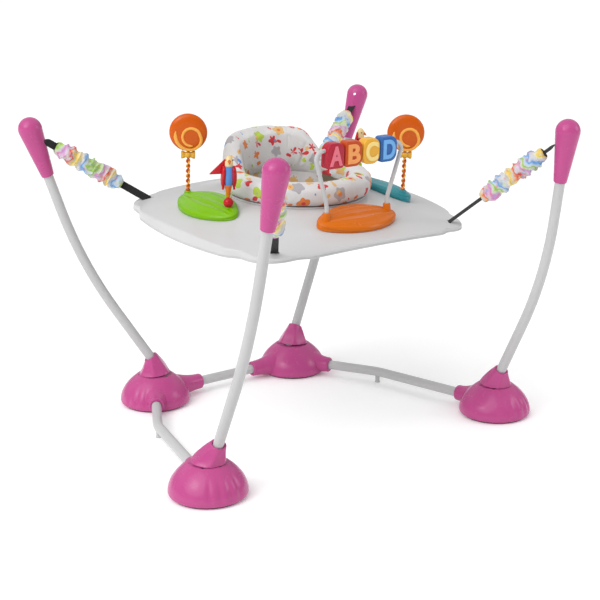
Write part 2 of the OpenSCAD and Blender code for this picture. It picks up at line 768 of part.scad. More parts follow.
// Bead: rounded block that hangs on the rod; X thick, Y wide
module bead_block() {
    r = 11;
    hull() for (y = [-1, 1], z = [r + bead_top - bead_h, bead_top - r])
        translate([0, y * (bead_w / 2 - r), z]) rotate([0, 90, 0]) {
            cylinder(r = r, h = bead_t - 6, center = true, $fn = 32);
            cylinder(r = r - 3, h = bead_t, center = true, $fn = 32);
        }
}
bead_tints = [red, orange, yellow, [0.25, 0.50, 0.85]];
module bead(k) {
    color(bead_tints[k]) on_toy(-90) translate([0, (k - 1.5) * bead_pitch, rod_z]) difference() {
        bead_block();
        rotate([90, 0, 0]) cylinder(d = rod_d + 2 * spin_clear, h = 2 * bead_w, center = true);
    }
}

// Lollipops: puffed disc, bow and twisted stalk
module on_post(turn, p) {
    on_toy(turn) translate([p[0], p[1], 0]) children();
}
disc_steps = 8;
function disc_profile() = [
    for (i = [-disc_steps : disc_steps])
        let (a = 90 * i / disc_steps)
        [abs(i) == disc_steps ? 0 : pop_d / 2 * pow(cos(a), 0.55), pop_t / 2 * sin(a)]
];
stalk_grip = 14;
module lollipop(turn) {
    color(candy) on_post(turn, side_posts[0]) translate([0, 0, pop_z]) rotate(pop_turn - turn) difference() {
        rotate([90, 0, 0]) rotate_extrude() polygon(disc_profile());
        translate([0, 0, -pop_d]) rotate(45) cylinder(d = post_d + 0.4, h = pop_d / 2 + stalk_grip);
    }
}
bow_z = pop_z - pop_d / 2 - 9;
stalk_foot = pin_floor + 0.5;
stalk_twist = 600;
stalk_groove = 0.14;
function stalk_r(a) = stalk_d / 2 * (1 - stalk_groove + stalk_groove * cos(3 * a));
module stalk(turn) {
    twist_from = side_boss + 0.5;
    twist_to = bow_z - 7;
    color(candy) on_post(turn, side_posts[0]) {
        translate([0, 0, stalk_foot]) cylinder(d = post_d, h = twist_from + 1 - stalk_foot);
        translate([0, 0, twist_from])
            linear_extrude(twist_to - twist_from, twist = stalk_twist, slices = 24, segments = 15)
                polygon([for (a = [0 : 24 : 336]) stalk_r(a) * [cos(a), sin(a)]]);
        translate([0, 0, twist_to - 1])
            cylinder(d = post_d, h = pop_z - pop_d / 2 + stalk_grip - 1 - twist_to);
    }
}
module bow(turn) {
    color(yellow) on_post(turn, side_posts[0]) translate([0, 0, bow_z]) rotate(pop_turn - turn) difference() {
        union() {
            cylinder(d = 16, h = 10, center = true);
            for (s = [-1, 1]) rotate([0, s * 90, 0]) cylinder(d1 = 8, d2 = 19, h = 17);
        }
        cylinder(d = post_d + 0.3, h = 30, center = true);
    }
}

// Birds: perch ball on its pin, body with tail, and folded wings
perch_d = 24;
perch_z = side_boss + 10;
body_z = 84;
module perch(turn) {
    color(red) on_post(turn, side_posts[1]) {
        translate([0, 0, stalk_foot]) cylinder(d = post_d, h = perch_z - stalk_foot);
        difference() {
            translate([0, 0, perch_z]) sphere(d = perch_d);
            translate([0, 0, side_boss + 0.3 - perch_d]) cylinder(d = perch_d, h = perch_d);
        }
    }
}
bird_top = 144;
bird_low = perch_z + perch_d / 2 + 0.2;
// Tail, body, neck and head in one turned outline
function bird_r(t) = t < 0.32 ? 3.5 + 6 * t / 0.32
    : t < 0.8 ? 9.5 + 7.5 * pow(sin(180 * (t - 0.32) / 0.48), 0.8)
    : 9.5 * sqrt(max(0, 1 - pow((t - 0.86) / 0.14, 2)));
module bird(turn) {
    count = 22;
    color(yellow) on_post(turn, side_posts[1]) difference() {
        rotate_extrude() polygon([
            [0, bird_low],
            for (i = [0 : count - 1]) [bird_r(i / count), bird_low + (bird_top - bird_low) * i / count],
            [0, bird_top]
        ]);
        for (s = [-1, 1]) bird_wing(s, 0.3);
    }
}
// A wing lies against the body's side and swings out below the shoulder
module bird_wing(s, clear) {
    rotate(35) translate([s * 13, 0, body_z + 14]) rotate([0, s * -16, 0]) hull() {
        translate([0, 0, 20]) sphere(r = 7 + clear, $fn = 16);
        translate([s * 3, 0, -8]) scale([0.55, 1, 1]) sphere(r = 11 + clear, $fn = 16);
        translate([s * 2, 4, -30]) sphere(r = 3 + clear, $fn = 16);
    }
}
module wings(turn) {
    color(red) on_post(turn, side_posts[1]) for (s = [-1, 1]) bird_wing(s, 0);
}

for (c = CORNERS) {
    foot(c);
    leg(c);
    cap(c);
    upper_strap(c);
    spring_cover(c);
    lower_strap(c);
}
foot_pads();
side_tube(-1);  // side_tube_right
side_tube(1);  // side_tube_left
rear_tube();
pegs();
cap_screws();
springs();
tray();
strap_bars();
seat_ring();
seat_retainer();
seat_pad();
seat_sling();
front_base();  // toy_base_front
side_base(180, green);  // toy_base_right
side_base(0, teal);  // toy_base_left
bead_rod();
for (k = [0 : 3]) {
    bead(k);
}
lollipop(180);  // lollipop_right
lollipop(0);  // lollipop_left
stalk(180);  // stalk_right
stalk(0);  // stalk_left
bow(180);  // bow_right
bow(0);  // bow_left
bird(180);  // bird_right
bird(0);  // bird_left
wings(180);  // wings_right
wings(0);  // wings_left
perch(180);  // perch_right
perch(0);  // perch_left
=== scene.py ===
# %% [markdown]
# # A free-standing baby jumper
#
# Four bent legs carry a tray on sprung straps. A padded seat turns in the tray, and three toy
# bases stand round it. The packed frame gives every piece its place and its motion, and this
# lesson gives each piece its real surface.

# %% Load the packed frame
from math import asin, atan, atan2, cos, exp, hypot, pi, radians, sin, sqrt, tan
from types import SimpleNamespace

import bmesh
import bpy
from mathutils import Matrix, Vector, noise
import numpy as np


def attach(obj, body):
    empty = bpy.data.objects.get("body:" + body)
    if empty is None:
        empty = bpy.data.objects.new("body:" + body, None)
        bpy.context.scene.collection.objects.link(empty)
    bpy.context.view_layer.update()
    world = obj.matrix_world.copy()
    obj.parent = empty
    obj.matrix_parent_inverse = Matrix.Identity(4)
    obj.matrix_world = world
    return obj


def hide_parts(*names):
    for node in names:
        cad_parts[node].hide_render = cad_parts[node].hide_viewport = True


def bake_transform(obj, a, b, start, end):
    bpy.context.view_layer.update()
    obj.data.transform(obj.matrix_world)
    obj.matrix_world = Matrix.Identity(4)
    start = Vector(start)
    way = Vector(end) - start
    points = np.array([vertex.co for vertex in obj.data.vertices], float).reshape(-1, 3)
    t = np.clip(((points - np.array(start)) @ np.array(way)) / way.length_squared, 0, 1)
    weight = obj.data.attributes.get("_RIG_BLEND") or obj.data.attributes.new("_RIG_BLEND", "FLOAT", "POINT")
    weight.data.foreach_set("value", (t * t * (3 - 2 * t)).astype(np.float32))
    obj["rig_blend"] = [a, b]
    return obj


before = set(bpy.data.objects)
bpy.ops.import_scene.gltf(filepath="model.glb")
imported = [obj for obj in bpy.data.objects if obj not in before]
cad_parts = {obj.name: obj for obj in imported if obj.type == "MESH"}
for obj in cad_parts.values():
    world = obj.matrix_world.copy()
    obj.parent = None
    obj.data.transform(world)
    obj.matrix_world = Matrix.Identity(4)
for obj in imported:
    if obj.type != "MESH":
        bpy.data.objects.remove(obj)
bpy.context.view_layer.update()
scene = bpy.context.scene

# %% [markdown]
# ## Wiring shader nodes
#
# Every finish below is a small net of nodes. Typing out each node and each link hides what the net
# does, so this helper keeps the tree of one material and has one short call for each kind of node.
# An input is named as the editor names it, or by its number as i0, i1 and so on.

# %% Wiring
class Wiring:
    """Makes and links the nodes of one shader tree."""

    def __init__(self, tree):
        self.tree = tree

    def fill(self, node, **inputs):
        """Sets an input to a value, or links it to a socket."""
        for key, value in inputs.items():
            socket = node.inputs[int(key[1:]) if key[1:].isdigit() else key]
            if isinstance(value, bpy.types.NodeSocket):
                self.tree.links.new(value, socket)
            else:
                socket.default_value = value
        return node

    def node(self, kind, **inputs):
        return self.fill(self.tree.nodes.new("ShaderNode" + kind), **inputs)

    def group(self, group, **inputs):
        node = self.node("Group")
        node.node_tree = group
        return self.fill(node, **inputs).outputs

    def math(self, operation, a, b=0.0, c=0.0):
        node = self.node("Math")
        node.operation = operation
        return self.fill(node, i0=a, i1=b, i2=c).outputs[0]

    def mix(self, share, a, b, blend="MIX"):
        node = self.node("Mix")
        node.data_type = "RGBA"
        node.blend_type = blend
        return self.fill(node, i0=share, i6=a, i7=b).outputs[2]

    def shaded(self, tint, light):
        """A colour made lighter or darker by a value."""
        grey = self.node("CombineColor", Red=light, Green=light, Blue=light).outputs[0]
        return self.mix(1.0, tint, grey, "MULTIPLY")

    def ramp(self, value, stops, mode="LINEAR"):
        """A colour ramp: stops are (place, colour)."""
        node = self.node("ValToRGB", i0=value)
        node.color_ramp.interpolation = mode
        for place, _ in stops[2:]:
            node.color_ramp.elements.new(place)
        for element, (place, tint) in zip(node.color_ramp.elements, stops):
            element.position = place
            element.color = (*tint, 1)
        return node.outputs[0]

    def noise(self, vector, scale, detail=3.0, rough=0.5, twist=0.0):
        return self.node("TexNoise", Vector=vector, Scale=scale, Detail=detail, Roughness=rough,
                         Distortion=twist).outputs["Fac"]

    def apart(self, vector):
        return self.node("SeparateXYZ", i0=vector).outputs

    def coords(self):
        return self.node("TexCoord").outputs["Object"]

    def bump(self, height, strength, distance):
        return self.node("Bump", Height=height, Strength=strength, Distance=distance).outputs[0]


def blank_material(name):
    material = bpy.data.materials.new(name)
    material.use_nodes = True
    return material, Wiring(material.node_tree), material.node_tree.nodes["Principled BSDF"]


print("node helpers:", [name for name in vars(Wiring) if not name.startswith("_")])

# %% [markdown]
# ## Camera, floor and light
#
# The camera stands where the photograph was taken from: in front of the child's right corner and
# a little above the tray. A long lens keeps the far legs nearly as large as the near ones. A wide
# white floor fills the whole picture. Two broad suns light it evenly to its far end, so that it
# stays white like a studio sweep, and it glows a little itself, which leaves only the shadows close
# to the feet. Two soft boxes add the highlights on the plastic. The backdrop is a weak lamp, though
# it looks white, and the plain display transform keeps the toys' colours as strong as they are.

# %% Camera
camera = bpy.data.objects.new("photo_camera", bpy.data.cameras.new("photo_camera"))
camera.data.lens = 86.5
camera.data.sensor_width = 36
camera.data.clip_end = 200
camera.location = (-2.0642, -2.7724, 1.3249)
camera.rotation_euler = Vector((0.5696, 0.7741, -0.2763)).to_track_quat("-Z", "Y").to_euler()
scene.collection.objects.link(camera)
scene.camera = camera
print("camera at", [round(x, 2) for x in camera.location])

# %% Floor and backdrop
FLOOR_HALF, FLOOR_GLOW, BACKDROP_LIGHT = 60, 0.12, 0.36
WHITE = (1, 1, 1, 1)
bm = bmesh.new()
bmesh.ops.create_grid(bm, x_segments=1, y_segments=1, size=FLOOR_HALF)
floor = bpy.data.objects.new("studio_floor", bpy.data.meshes.new("studio_floor"))
bm.to_mesh(floor.data)
bm.free()
scene.collection.objects.link(floor)
floor_paint, wire, shader = blank_material("floor_paint")
wire.fill(shader, **{"Base Color": (0.97, 0.97, 0.97, 1), "Roughness": 0.7,
                     "Emission Color": WHITE, "Emission Strength": FLOOR_GLOW})
floor.data.materials.append(floor_paint)
world = bpy.data.worlds.new("studio")
world.use_nodes = True
wire = Wiring(world.node_tree)
seen = wire.node("LightPath").outputs["Is Camera Ray"]
strength = wire.node("MapRange", **{"Value": seen, "To Min": BACKDROP_LIGHT, "To Max": 1.0}).outputs[0]
wire.fill(world.node_tree.nodes["Background"], Color=WHITE, Strength=strength)
scene.world = world
print("floor reaches", FLOOR_HALF, "m each way")


# %% Lamps
def lamp(name, kind, place, aim=(0, 0, 0)):
    """A lamp at a place that looks at a point."""
    obj = bpy.data.objects.new(name, bpy.data.lights.new(name, kind))
    obj.location = place
    obj.rotation_euler = (Vector(aim) - Vector(place)).to_track_quat("-Z", "Y").to_euler()
    scene.collection.objects.link(obj)
    return obj.data


for name, place, energy, spread in (("key_sun", (-2.9, -0.5, 3.0), 1.5, 60),
                                    ("sky_sun", (0.5, 0.9, 3.6), 0.95, 120)):
    sun = lamp(name, "SUN", place)
    sun.energy = energy
    sun.angle = radians(spread)
for name, place, aim, watts in (("key_box", (-3.0, -0.4, 2.6), (0, 0, 0.3), 26),
                                ("side_box", (2.6, -2.2, 1.8), (0, 0, 0.4), 20)):
    box = lamp(name, "AREA", place, aim)
    box.size = 1.4
    box.energy = watts
scene.view_settings.view_transform = "Standard"

# %% [markdown]
# ## Finishes
#
# Most of the jumper is moulded plastic, and the rest is painted steel and cloth. Real plastic is
# never one flat colour: it has a slow drift in tint, a fine skin, and a few dull scuffs. Those
# three come from one node group, so that every plastic can have them in its own strength. Cloth
# and webbing get a weave group of crossed threads in the same way, with painted shade in the
# valleys between the threads.

# %% Moulded skin group
def new_group(name, inputs, outputs):
    """An empty shader group with named sockets: inputs are {name: (socket type, default)}."""
    group = bpy.data.node_groups.new(name, "ShaderNodeTree")
    for label, (kind, value) in inputs.items():
        socket = group.interface.new_socket(label, in_out="INPUT", socket_type="NodeSocket" + kind)
        if value is not None:
            socket.default_value = value
    for label, kind in outputs.items():
        group.interface.new_socket(label, in_out="OUTPUT", socket_type="NodeSocket" + kind)
    ends = group.nodes.new("NodeGroupInput").outputs, group.nodes.new("NodeGroupOutput")
    return group, Wiring(group), *ends


SKIN = {"Colour": "Color", "Roughness": "Float", "Height": "Float"}
moulded_skin, wire, given, put = new_group(
    "moulded_skin",
    {"Vector": ("Vector", None), "Tint": ("Color", WHITE), "Drift": ("Float", 0.06),
     "Gloss": ("Float", 0.3), "Scuff": ("Float", 0.15)}, SKIN)
drift = wire.noise(given["Vector"], 9.0, 2.0)
light = wire.math("MULTIPLY_ADD", drift, given["Drift"], wire.math("SUBTRACT", 1.0, given["Drift"]))
scrape = wire.noise(given["Vector"], 55.0, 6.0, 0.7, 0.8)
scraped = wire.math("MAXIMUM", 0.0, wire.math("SUBTRACT", scrape, 0.56))
marks = wire.math("SMOOTH_MIN", 1.0, wire.math("MULTIPLY", 6.0, scraped), 0.1)
grain = wire.noise(given["Vector"], 900.0, 2.0)
swell = wire.noise(given["Vector"], 26.0, 2.0)
wire.fill(put, Colour=wire.shaded(given["Tint"], light),
          Roughness=wire.math("MULTIPLY_ADD", marks, given["Scuff"], given["Gloss"]),
          Height=wire.math("MULTIPLY_ADD", swell, 3.0, grain))
print("group:", moulded_skin.name, [s.name for s in moulded_skin.interface.items_tree])

# %% Woven threads group
woven_threads, wire, given, put = new_group(
    "woven_threads",
    {"Vector": ("Vector", None), "Tint": ("Color", WHITE), "Threads": ("Float", 900.0)}, SKIN)
axes = wire.apart(given["Vector"])
waves = [wire.math("SINE", wire.math("MULTIPLY", axes[k], given["Threads"])) for k in range(3)]
crossed = wire.math("MULTIPLY_ADD", waves[0], waves[1], wire.math("MULTIPLY", waves[1], waves[2]))
height = wire.math("MULTIPLY_ADD", crossed, 0.3, 0.5)
fuzz = wire.noise(given["Vector"], 40.0, 4.0)
# The colour is darker in the valleys between the threads than on the crests: painted shade, on top of a
# random fuzz in tone.
light = wire.math("MULTIPLY_ADD", fuzz, 0.12, wire.math("MULTIPLY_ADD", height, 0.1, 0.83))
wire.fill(put, Colour=wire.shaded(given["Tint"], light), Height=height,
          Roughness=wire.math("MULTIPLY_ADD", fuzz, 0.15, 0.75))
print("group:", woven_threads.name)


# %% Material makers
def moulded(name, tint, gloss=0.28, drift=0.08, scuff=0.16, coat=0.1, bump=0.05):
    """Moulded plastic, or paint on metal."""
    material, wire, shader = blank_material(name)
    skin = wire.group(moulded_skin, Vector=wire.coords(), Tint=(*tint, 1), Drift=drift, Gloss=gloss,
                      Scuff=scuff)
    wire.fill(shader, **{"Base Color": skin["Colour"], "Roughness": skin["Roughness"],
                         "Coat Weight": coat, "Coat Roughness": 0.12, "Specular IOR Level": 0.2,
                         "Normal": wire.bump(skin["Height"], bump, 0.0006)})
    return material


def weave(wire, shader, tint, threads, sheen, bump, deep):
    """Gives a shader the skin of woven cloth."""
    skin = wire.group(woven_threads, Vector=wire.coords(), Tint=tint, Threads=threads)
    wire.fill(shader, **{"Base Color": skin["Colour"], "Roughness": skin["Roughness"],
                         "Sheen Weight": sheen, "Normal": wire.bump(skin["Height"], bump, deep)})


def plain_cloth(name, tint, threads, sheen, bump):
    material, wire, shader = blank_material(name)
    weave(wire, shader, (*tint, 1), threads, sheen, bump, 0.0008)
    return material


pink_plastic = moulded("pink_plastic", (0.51, 0.075, 0.255), 0.24, coat=0.15)
white_paint = moulded("white_paint", (0.53, 0.53, 0.535), 0.34, scuff=0.2)
tray_white = moulded("tray_white", (0.59, 0.59, 0.595), 0.34, drift=0.05, coat=0.15)
black_rubber = moulded("black_rubber", (0.015, 0.015, 0.016), 0.7, coat=0.0, bump=0.2)
black_plastic = moulded("black_plastic", (0.018, 0.018, 0.02), 0.45)
webbing = plain_cloth("webbing", (0.011, 0.011, 0.012), 2600.0, 0.05, 0.6)
zinc, wire, shader = blank_material("zinc")
skin = wire.group(moulded_skin, Vector=wire.coords(), Tint=(0.62, 0.62, 0.64, 1), Gloss=0.32, Scuff=0.3)
wire.fill(shader, **{"Base Color": skin["Colour"], "Roughness": skin["Roughness"], "Metallic": 1.0})
print("finishes so far:", len(bpy.data.materials))

# %% [markdown]
# ## Modelling helpers
#
# Nearly everything here is a tube of rings: a foot, a cap, a leg, a gathered cover, the tray. So
# the main helper starts from one circle, extrudes its edges again and again, and moves each new
# ring to its place. Every vertex remembers its turn round the circle in a layer, so a ring can
# have any outline, not only a round one.

# %% Places
UP, REAR = Vector((0, 0, 1)), Vector((0, 1, 0))


def shift(x=0.0, y=0.0, z=0.0):
    return Matrix.Translation((x, y, z))


def spun(degrees, axis="Z"):
    return Matrix.Rotation(radians(degrees), 4, axis)


def polar(r, a, z=0.0):
    return Vector((r * cos(a), r * sin(a), z))


def stand(place, up, ahead):
    """The frame at a place with Z along up and X along ahead."""
    return Matrix.Translation(place) @ Matrix((ahead, up.cross(ahead), up)).transposed().to_4x4()


def across(v, along):
    return (v - v.dot(along) * along).normalized()


def eased(t):
    """A soft step from 0 to 1."""
    t = max(0.0, min(1.0, t))
    return t * t * (3 - 2 * t)


def mm(*rows):
    """Rows of millimetres as metres."""
    return [tuple(v / 1000 for v in row) for row in rows]


print("a place 1 m up:", shift(z=1).translation[:])


# %% Rings
def rings_through(bm, rings, sides=48, close=(False, False)):
    """A tube through rings. A ring is a function from a turn, in radians, to a point."""
    turn = bm.verts.layers.float.get("turn") or bm.verts.layers.float.new("turn")
    verts = bmesh.ops.create_circle(bm, segments=sides, radius=1)["verts"]
    edges = list({e for v in verts for e in v.link_edges})
    for v in verts:
        v[turn] = atan2(v.co.y, v.co.x)
        v.co = rings[0](v[turn])
    if close[0]:
        bmesh.ops.edgeloop_fill(bm, edges=edges)
    for ring in rings[1:]:
        grown = bmesh.ops.extrude_edge_only(bm, edges=edges)["geom"]
        fresh = {g for g in grown if isinstance(g, bmesh.types.BMVert)}
        edges = [g for g in grown if isinstance(g, bmesh.types.BMEdge) and set(g.verts) <= fresh]
        for v in fresh:
            v.co = ring(v[turn])
    if close[1]:
        bmesh.ops.edgeloop_fill(bm, edges=edges)


def round_ring(matrix, radius, z=0.0):
    return lambda a: matrix @ polar(radius, a, z)


def turned(bm, matrix, profile, sides=48, close=(False, False)):
    """A turned shape: profile points are (radius, height) in the matrix's frame."""
    rings_through(bm, [round_ring(matrix, r, z) for r, z in profile], sides, close)


def wound(bm, matrix, radius, wire_r, sides, turns, steps, rise):
    """A small circle spun round the matrix's axis with a little rise at each step."""
    verts = bmesh.ops.create_circle(bm, segments=sides, radius=wire_r,
                                    matrix=shift(radius) @ spun(90, "X"))["verts"]
    bmesh.ops.spin(bm, geom=verts + list({e for v in verts for e in v.link_edges}), cent=(0, 0, 0),
                   axis=UP, dvec=UP * rise / steps, angle=2 * pi * turns, steps=steps, use_merge=False)
    bmesh.ops.transform(bm, matrix=matrix, verts=bm.verts)


def block(bm, matrix, size, z):
    """A box, for cutters, with its middle at height z."""
    bmesh.ops.create_cube(bm, size=1, matrix=matrix @ shift(z=z) @ Matrix.Diagonal((*size, 1)))


def round_over(bm, edges, offset, segments):
    bmesh.ops.bevel(bm, geom=edges, offset=offset, offset_type="OFFSET", affect="EDGES",
                    segments=segments, profile=0.5, material=-1)


# %% Finished pieces
SHARP = 35


def finish_mesh(name, bm, materials, sharp=SHARP):
    bmesh.ops.remove_doubles(bm, verts=bm.verts, dist=1e-6)
    bmesh.ops.recalc_face_normals(bm, faces=bm.faces)
    mesh = bpy.data.meshes.new(name)
    bm.to_mesh(mesh)
    bm.free()
    mesh.shade_smooth()
    mesh.set_sharp_from_angle(angle=radians(sharp))
    for material in materials:
        mesh.materials.append(material)
    obj = bpy.data.objects.new(name, mesh)
    scene.collection.objects.link(obj)
    return obj


def piece(name, bm, materials, body=None, nodes=(), slot=None, sharp=SHARP):
    """Turns a bmesh into a piece that rides on a body and stands for CAD nodes."""
    obj = finish_mesh(name, bm, materials if isinstance(materials, list) else [materials], sharp)
    if body:
        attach(obj, body)
    if nodes:
        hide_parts(*nodes)
    return obj


def settled(obj):
    """The object's mesh with its modifiers applied."""
    bpy.context.view_layer.update()
    mesh = bpy.data.meshes.new_from_object(obj.evaluated_get(bpy.context.evaluated_depsgraph_get()))
    obj.modifiers.clear()
    return mesh


def carve(obj, cutter):
    """Cuts one closed mesh out of another and keeps the result as plain mesh."""
    tool = finish_mesh("cutter", cutter, [])
    cut = obj.modifiers.new("cut", "BOOLEAN")
    cut.operation = "DIFFERENCE"
    cut.solver = "EXACT"
    cut.object = tool
    mesh = settled(obj)
    old, obj.data = obj.data, mesh
    spare = tool.data
    bpy.data.objects.remove(tool)
    for gone in (old, spare):
        bpy.data.meshes.remove(gone)
    mesh.set_sharp_from_angle(angle=radians(SHARP))
    return obj


def soft_edges(obj, width):
    bevel = obj.modifiers.new("soft_edges", "BEVEL")
    bevel.width = width
    bevel.segments = 2
    bevel.limit_method = "ANGLE"
    bevel.angle_limit = radians(38)
    bevel.harden_normals = True


print("pieces shade sharp past", SHARP, "degrees")

# %% [markdown]
# ## The four corners
#
# Each corner has a foot, a leg that bends once, and a cap at its top. The numbers below are the
# frame's own, in metres, for the left side: where a foot stands, how far its neck reaches, which
# way the leg bows, and where the cap's dome is. The right side mirrors them.

# %% Corner frames
SIDES = {"right": -1, "left": 1}
LEFT_CORNERS = {
    "front": ((0.444, -0.220), (-0.010, -0.030), (0.2, -1, 0), (0.417, -0.454, 0.774)),
    "rear": ((0.226, 0.376), (0.011, 0.001), (0.75, 0.66, 0), (0.513, 0.454, 0.750)),
}
TUBE_R, TUBE_Z, LEG_BEND, LEG_R = 0.0125, 0.030, radians(16), 1.100
NECK_H, BEND_SHARE, ANCHOR_DROP = 0.128, 0.45, 0.011
TRAY = shift(0, 0.050, 0.560) @ spun(3, "X")
DOME_R, DOME_TOP = 1.900, 0.340 ** 2 / 3.8
SLOT_X, SLOT_Y = 0.262, 0.276
CORNERS = {}


def dome_z(r):
    """Height of the tray's domed top above its rim plane."""
    return DOME_TOP - DOME_R + sqrt(DOME_R ** 2 - r * r)


for end, row in LEFT_CORNERS.items():
    for label, side in SIDES.items():
        foot, reach, bow, dome = ((side * v[0], *v[1:]) for v in row)
        dome = Vector(dome)
        neck = Vector((foot[0] + reach[0], foot[1] + reach[1], NECK_H))
        axis, chord = (dome - neck).normalized(), (dome - neck).length
        a, t = BEND_SHARE * chord, tan(LEG_BEND)
        k, m = t / (a * (chord - a)), chord / (a * (chord - a))
        rise = (sqrt(m * m + 4 * k * t) - m) / (2 * k)
        lean = atan(rise / a)
        low = cos(lean) * axis + sin(lean) * across(Vector(bow), axis)
        corner = neck + low * hypot(rise, a)
        high = (dome - corner).normalized()
        slot_spot = Vector((side * SLOT_X, SLOT_Y if end == "rear" else -SLOT_Y, 0))
        slot_spot.z = dome_z(slot_spot.length)
        anchor, slot = dome - ANCHOR_DROP * high, TRAY @ slot_spot
        strap = (slot - anchor).normalized()
        CORNERS[f"{end}_{label}"] = SimpleNamespace(
            end=end, side=side, foot=foot, neck=neck, low=low, corner=corner, high=high, dome=dome,
            slot_spot=slot_spot, anchor=anchor, slot=slot, strap=strap,
            strap_len=(slot - anchor).length,
            strap_frame=stand(anchor, strap, UP.cross(strap).normalized()),
            cap_frame=stand(dome, high, across(strap, high)),
            neck_frame=stand(neck, low, across(REAR, low)))
for name, c in CORNERS.items():
    print(name, "strap", round(c.strap_len, 3), "m, cap", [round(v, 3) for v in c.dome])

# %% [markdown]
# ## Feet
#
# A foot is one glossy moulding: a dome that tucks in at the floor, a crease, a leaning neck that
# takes the leg, and one or two side sockets for the base tubes. The dome and neck are one tube of
# rings, because the crease and the lip then share their vertices and shade as one skin. The
# sockets are flared where they leave the dome, which reads as a moulded fillet.

# %% Foot dome and neck
FOOT_R, BELLY_Z, DOME_H, CREASE_R = 0.092, 0.012, 0.080, 0.046
NECK_FROM, NECK_TO = 0.0438, 0.0187
FLUTE_LOW, FLUTE_TOP, FLUTE_DEEP = 0.008, 0.068, 0.0024
FLUTE_SPAN, FLUTE_STEP = radians(34), radians(17)
FOOT_EDGE = mm((83, 3), (86.5, 3.8), (89.5, 5.8), (91.2, 8.5))
NECK_LIP = mm((18.4, 0.6), (17.6, 1.2), (14.6, 1.2), (13.8, 0.4), (13.6, -12))


def flute(turn, middle, z):
    """Depth of four soft grooves on the dome's outer side, shallow at both ends."""
    along = max(0.0, min(1.0, (z - FLUTE_LOW) / 0.012, (FLUTE_TOP - z) / 0.022))
    place = (turn - middle + pi) % (2 * pi) - pi
    if abs(place) > FLUTE_SPAN:
        return 0.0
    return FLUTE_DEEP * along * (0.5 - 0.5 * cos(place * 2 * pi / FLUTE_STEP)) ** 1.5


def faceted(turn, share):
    """Reach of a rounded hexagon, between a circle at share 0 and six flats at share 1."""
    off = (turn + pi / 6) % (pi / 3) - pi / 6
    return 1 - share + share * 0.93 / max(0.90, cos(off))


def foot_rings(c):
    base = shift(*c.foot)
    middle = atan2(-1.0, 0.1 * c.side) if c.end == "front" else atan2(-0.56, 0.83 * c.side)
    arc = [pi / 2 * i / 20 for i in range(21)]
    profile = FOOT_EDGE + [(CREASE_R + (FOOT_R - CREASE_R) * cos(a) ** 1.9,
                            BELLY_Z + (DOME_H - BELLY_Z) * sin(a)) for a in arc]
    profile.append((CREASE_R - 0.0010, DOME_H + 0.0002))
    rings = [lambda a, r=r, z=z: base @ polar(r - flute(a, middle, z), a, z) for r, z in profile]
    for i in range(1, 13):
        t = i / 12
        up = UP.lerp(c.low, t ** 0.8).normalized()
        spot = stand(Vector((*c.foot, DOME_H)).lerp(c.neck, t), up, across(REAR, up))
        radius = NECK_FROM + (NECK_TO - NECK_FROM) * t ** 0.94
        flats = min(1.0, 4 * t, 4 * (1 - t))
        rings.append(lambda a, spot=spot, radius=radius, flats=flats:
                     spot @ polar(radius * faceted(a, flats), a))
    return rings + [round_ring(c.neck_frame, r, z) for r, z in NECK_LIP]


print("rings in a foot:", len(foot_rings(CORNERS["front_left"])))

# %% Foot sockets
PEGS = {side: Vector((side * 0.354, 0.150, TUBE_Z)) for side in SIDES.values()}
SOCKET_R, SOCKET_FLARE, SOCKET_FROM, SOCKET_FLOOR = 0.0205, 0.018, 0.058, 0.0045
SIDE_REACH, REAR_REACH, LIP_LEN = 0.116, 0.142, 0.004
SOCKET_LIP = mm((19.9, -1.8), (18.6, -0.4), (17.2, 0), (13.8, 0), (13.1, -1), (13, -30))


def socket(bm, c, ahead, reach):
    """A flared sleeve for a base tube, kept off the floor."""
    place = stand(Vector((*c.foot, TUBE_Z)), ahead, UP)
    flare_len = reach - SOCKET_FROM - LIP_LEN
    profile = [(SOCKET_R + SOCKET_FLARE * (1 - i / 9) ** 2, SOCKET_FROM + flare_len * i / 9)
               for i in range(10)]
    profile += [(r, reach + z) for r, z in SOCKET_LIP]

    def ring(r, along):
        def point(a):
            p = place @ polar(r, a, along)
            p.z = max(p.z, SOCKET_FLOOR)
            return p
        return point

    rings_through(bm, [ring(r, along) for r, along in profile], 40)


for name, c in CORNERS.items():
    bm = bmesh.new()
    rings_through(bm, foot_rings(c), 180, (True, False))
    way = PEGS[c.side] - Vector((*c.foot, TUBE_Z))
    c.side_way = Vector((way.x, way.y, 0)).normalized()
    socket(bm, c, c.side_way, SIDE_REACH)
    if c.end == "rear":
        socket(bm, c, Vector((-c.side, 0, 0)), REAR_REACH)
    foot = piece(name + "_foot", bm, pink_plastic, "frame", ["foot_" + name], "pink_plastic", 40)
print("foot triangles:", sum(len(p.vertices) - 2 for p in foot.data.polygons))

# %% [markdown]
# ## Tubes
#
# The legs and the base are powder-coated steel tube, bent cold on a former. A bend keeps the
# tube's round section, so each tube is a row of rings: two for a straight, and one every degree
# and a half round a bend, all at right angles to the tube's line.

# %% Bent tubes
TUBE_SIDES, LEG_IN_NECK, LEG_SHORT = 32, 0.062, 0.046
BASE_BEND_R, TUBE_IN_FOOT = 0.150, 0.040


def bent_tube(bm, start, way, next_way, first, radius, bend, second):
    """A tube with one bend between a first and a second straight."""
    ahead = across(next_way, way)
    hinge = start + first * way + radius * ahead
    steps = max(4, round(bend / radians(1.5)))
    spots = [stand(start, way, ahead)]
    for i in range(steps + 1):
        a = bend * i / steps
        inward = cos(a) * ahead - sin(a) * way
        spots.append(stand(hinge - radius * inward, cos(a) * way + sin(a) * ahead, inward))
    spots.append(Matrix.Translation(second * spots[-1].col[2].to_3d()) @ spots[-1])
    rings_through(bm, [round_ring(m, TUBE_R) for m in spots], TUBE_SIDES, (True, True))


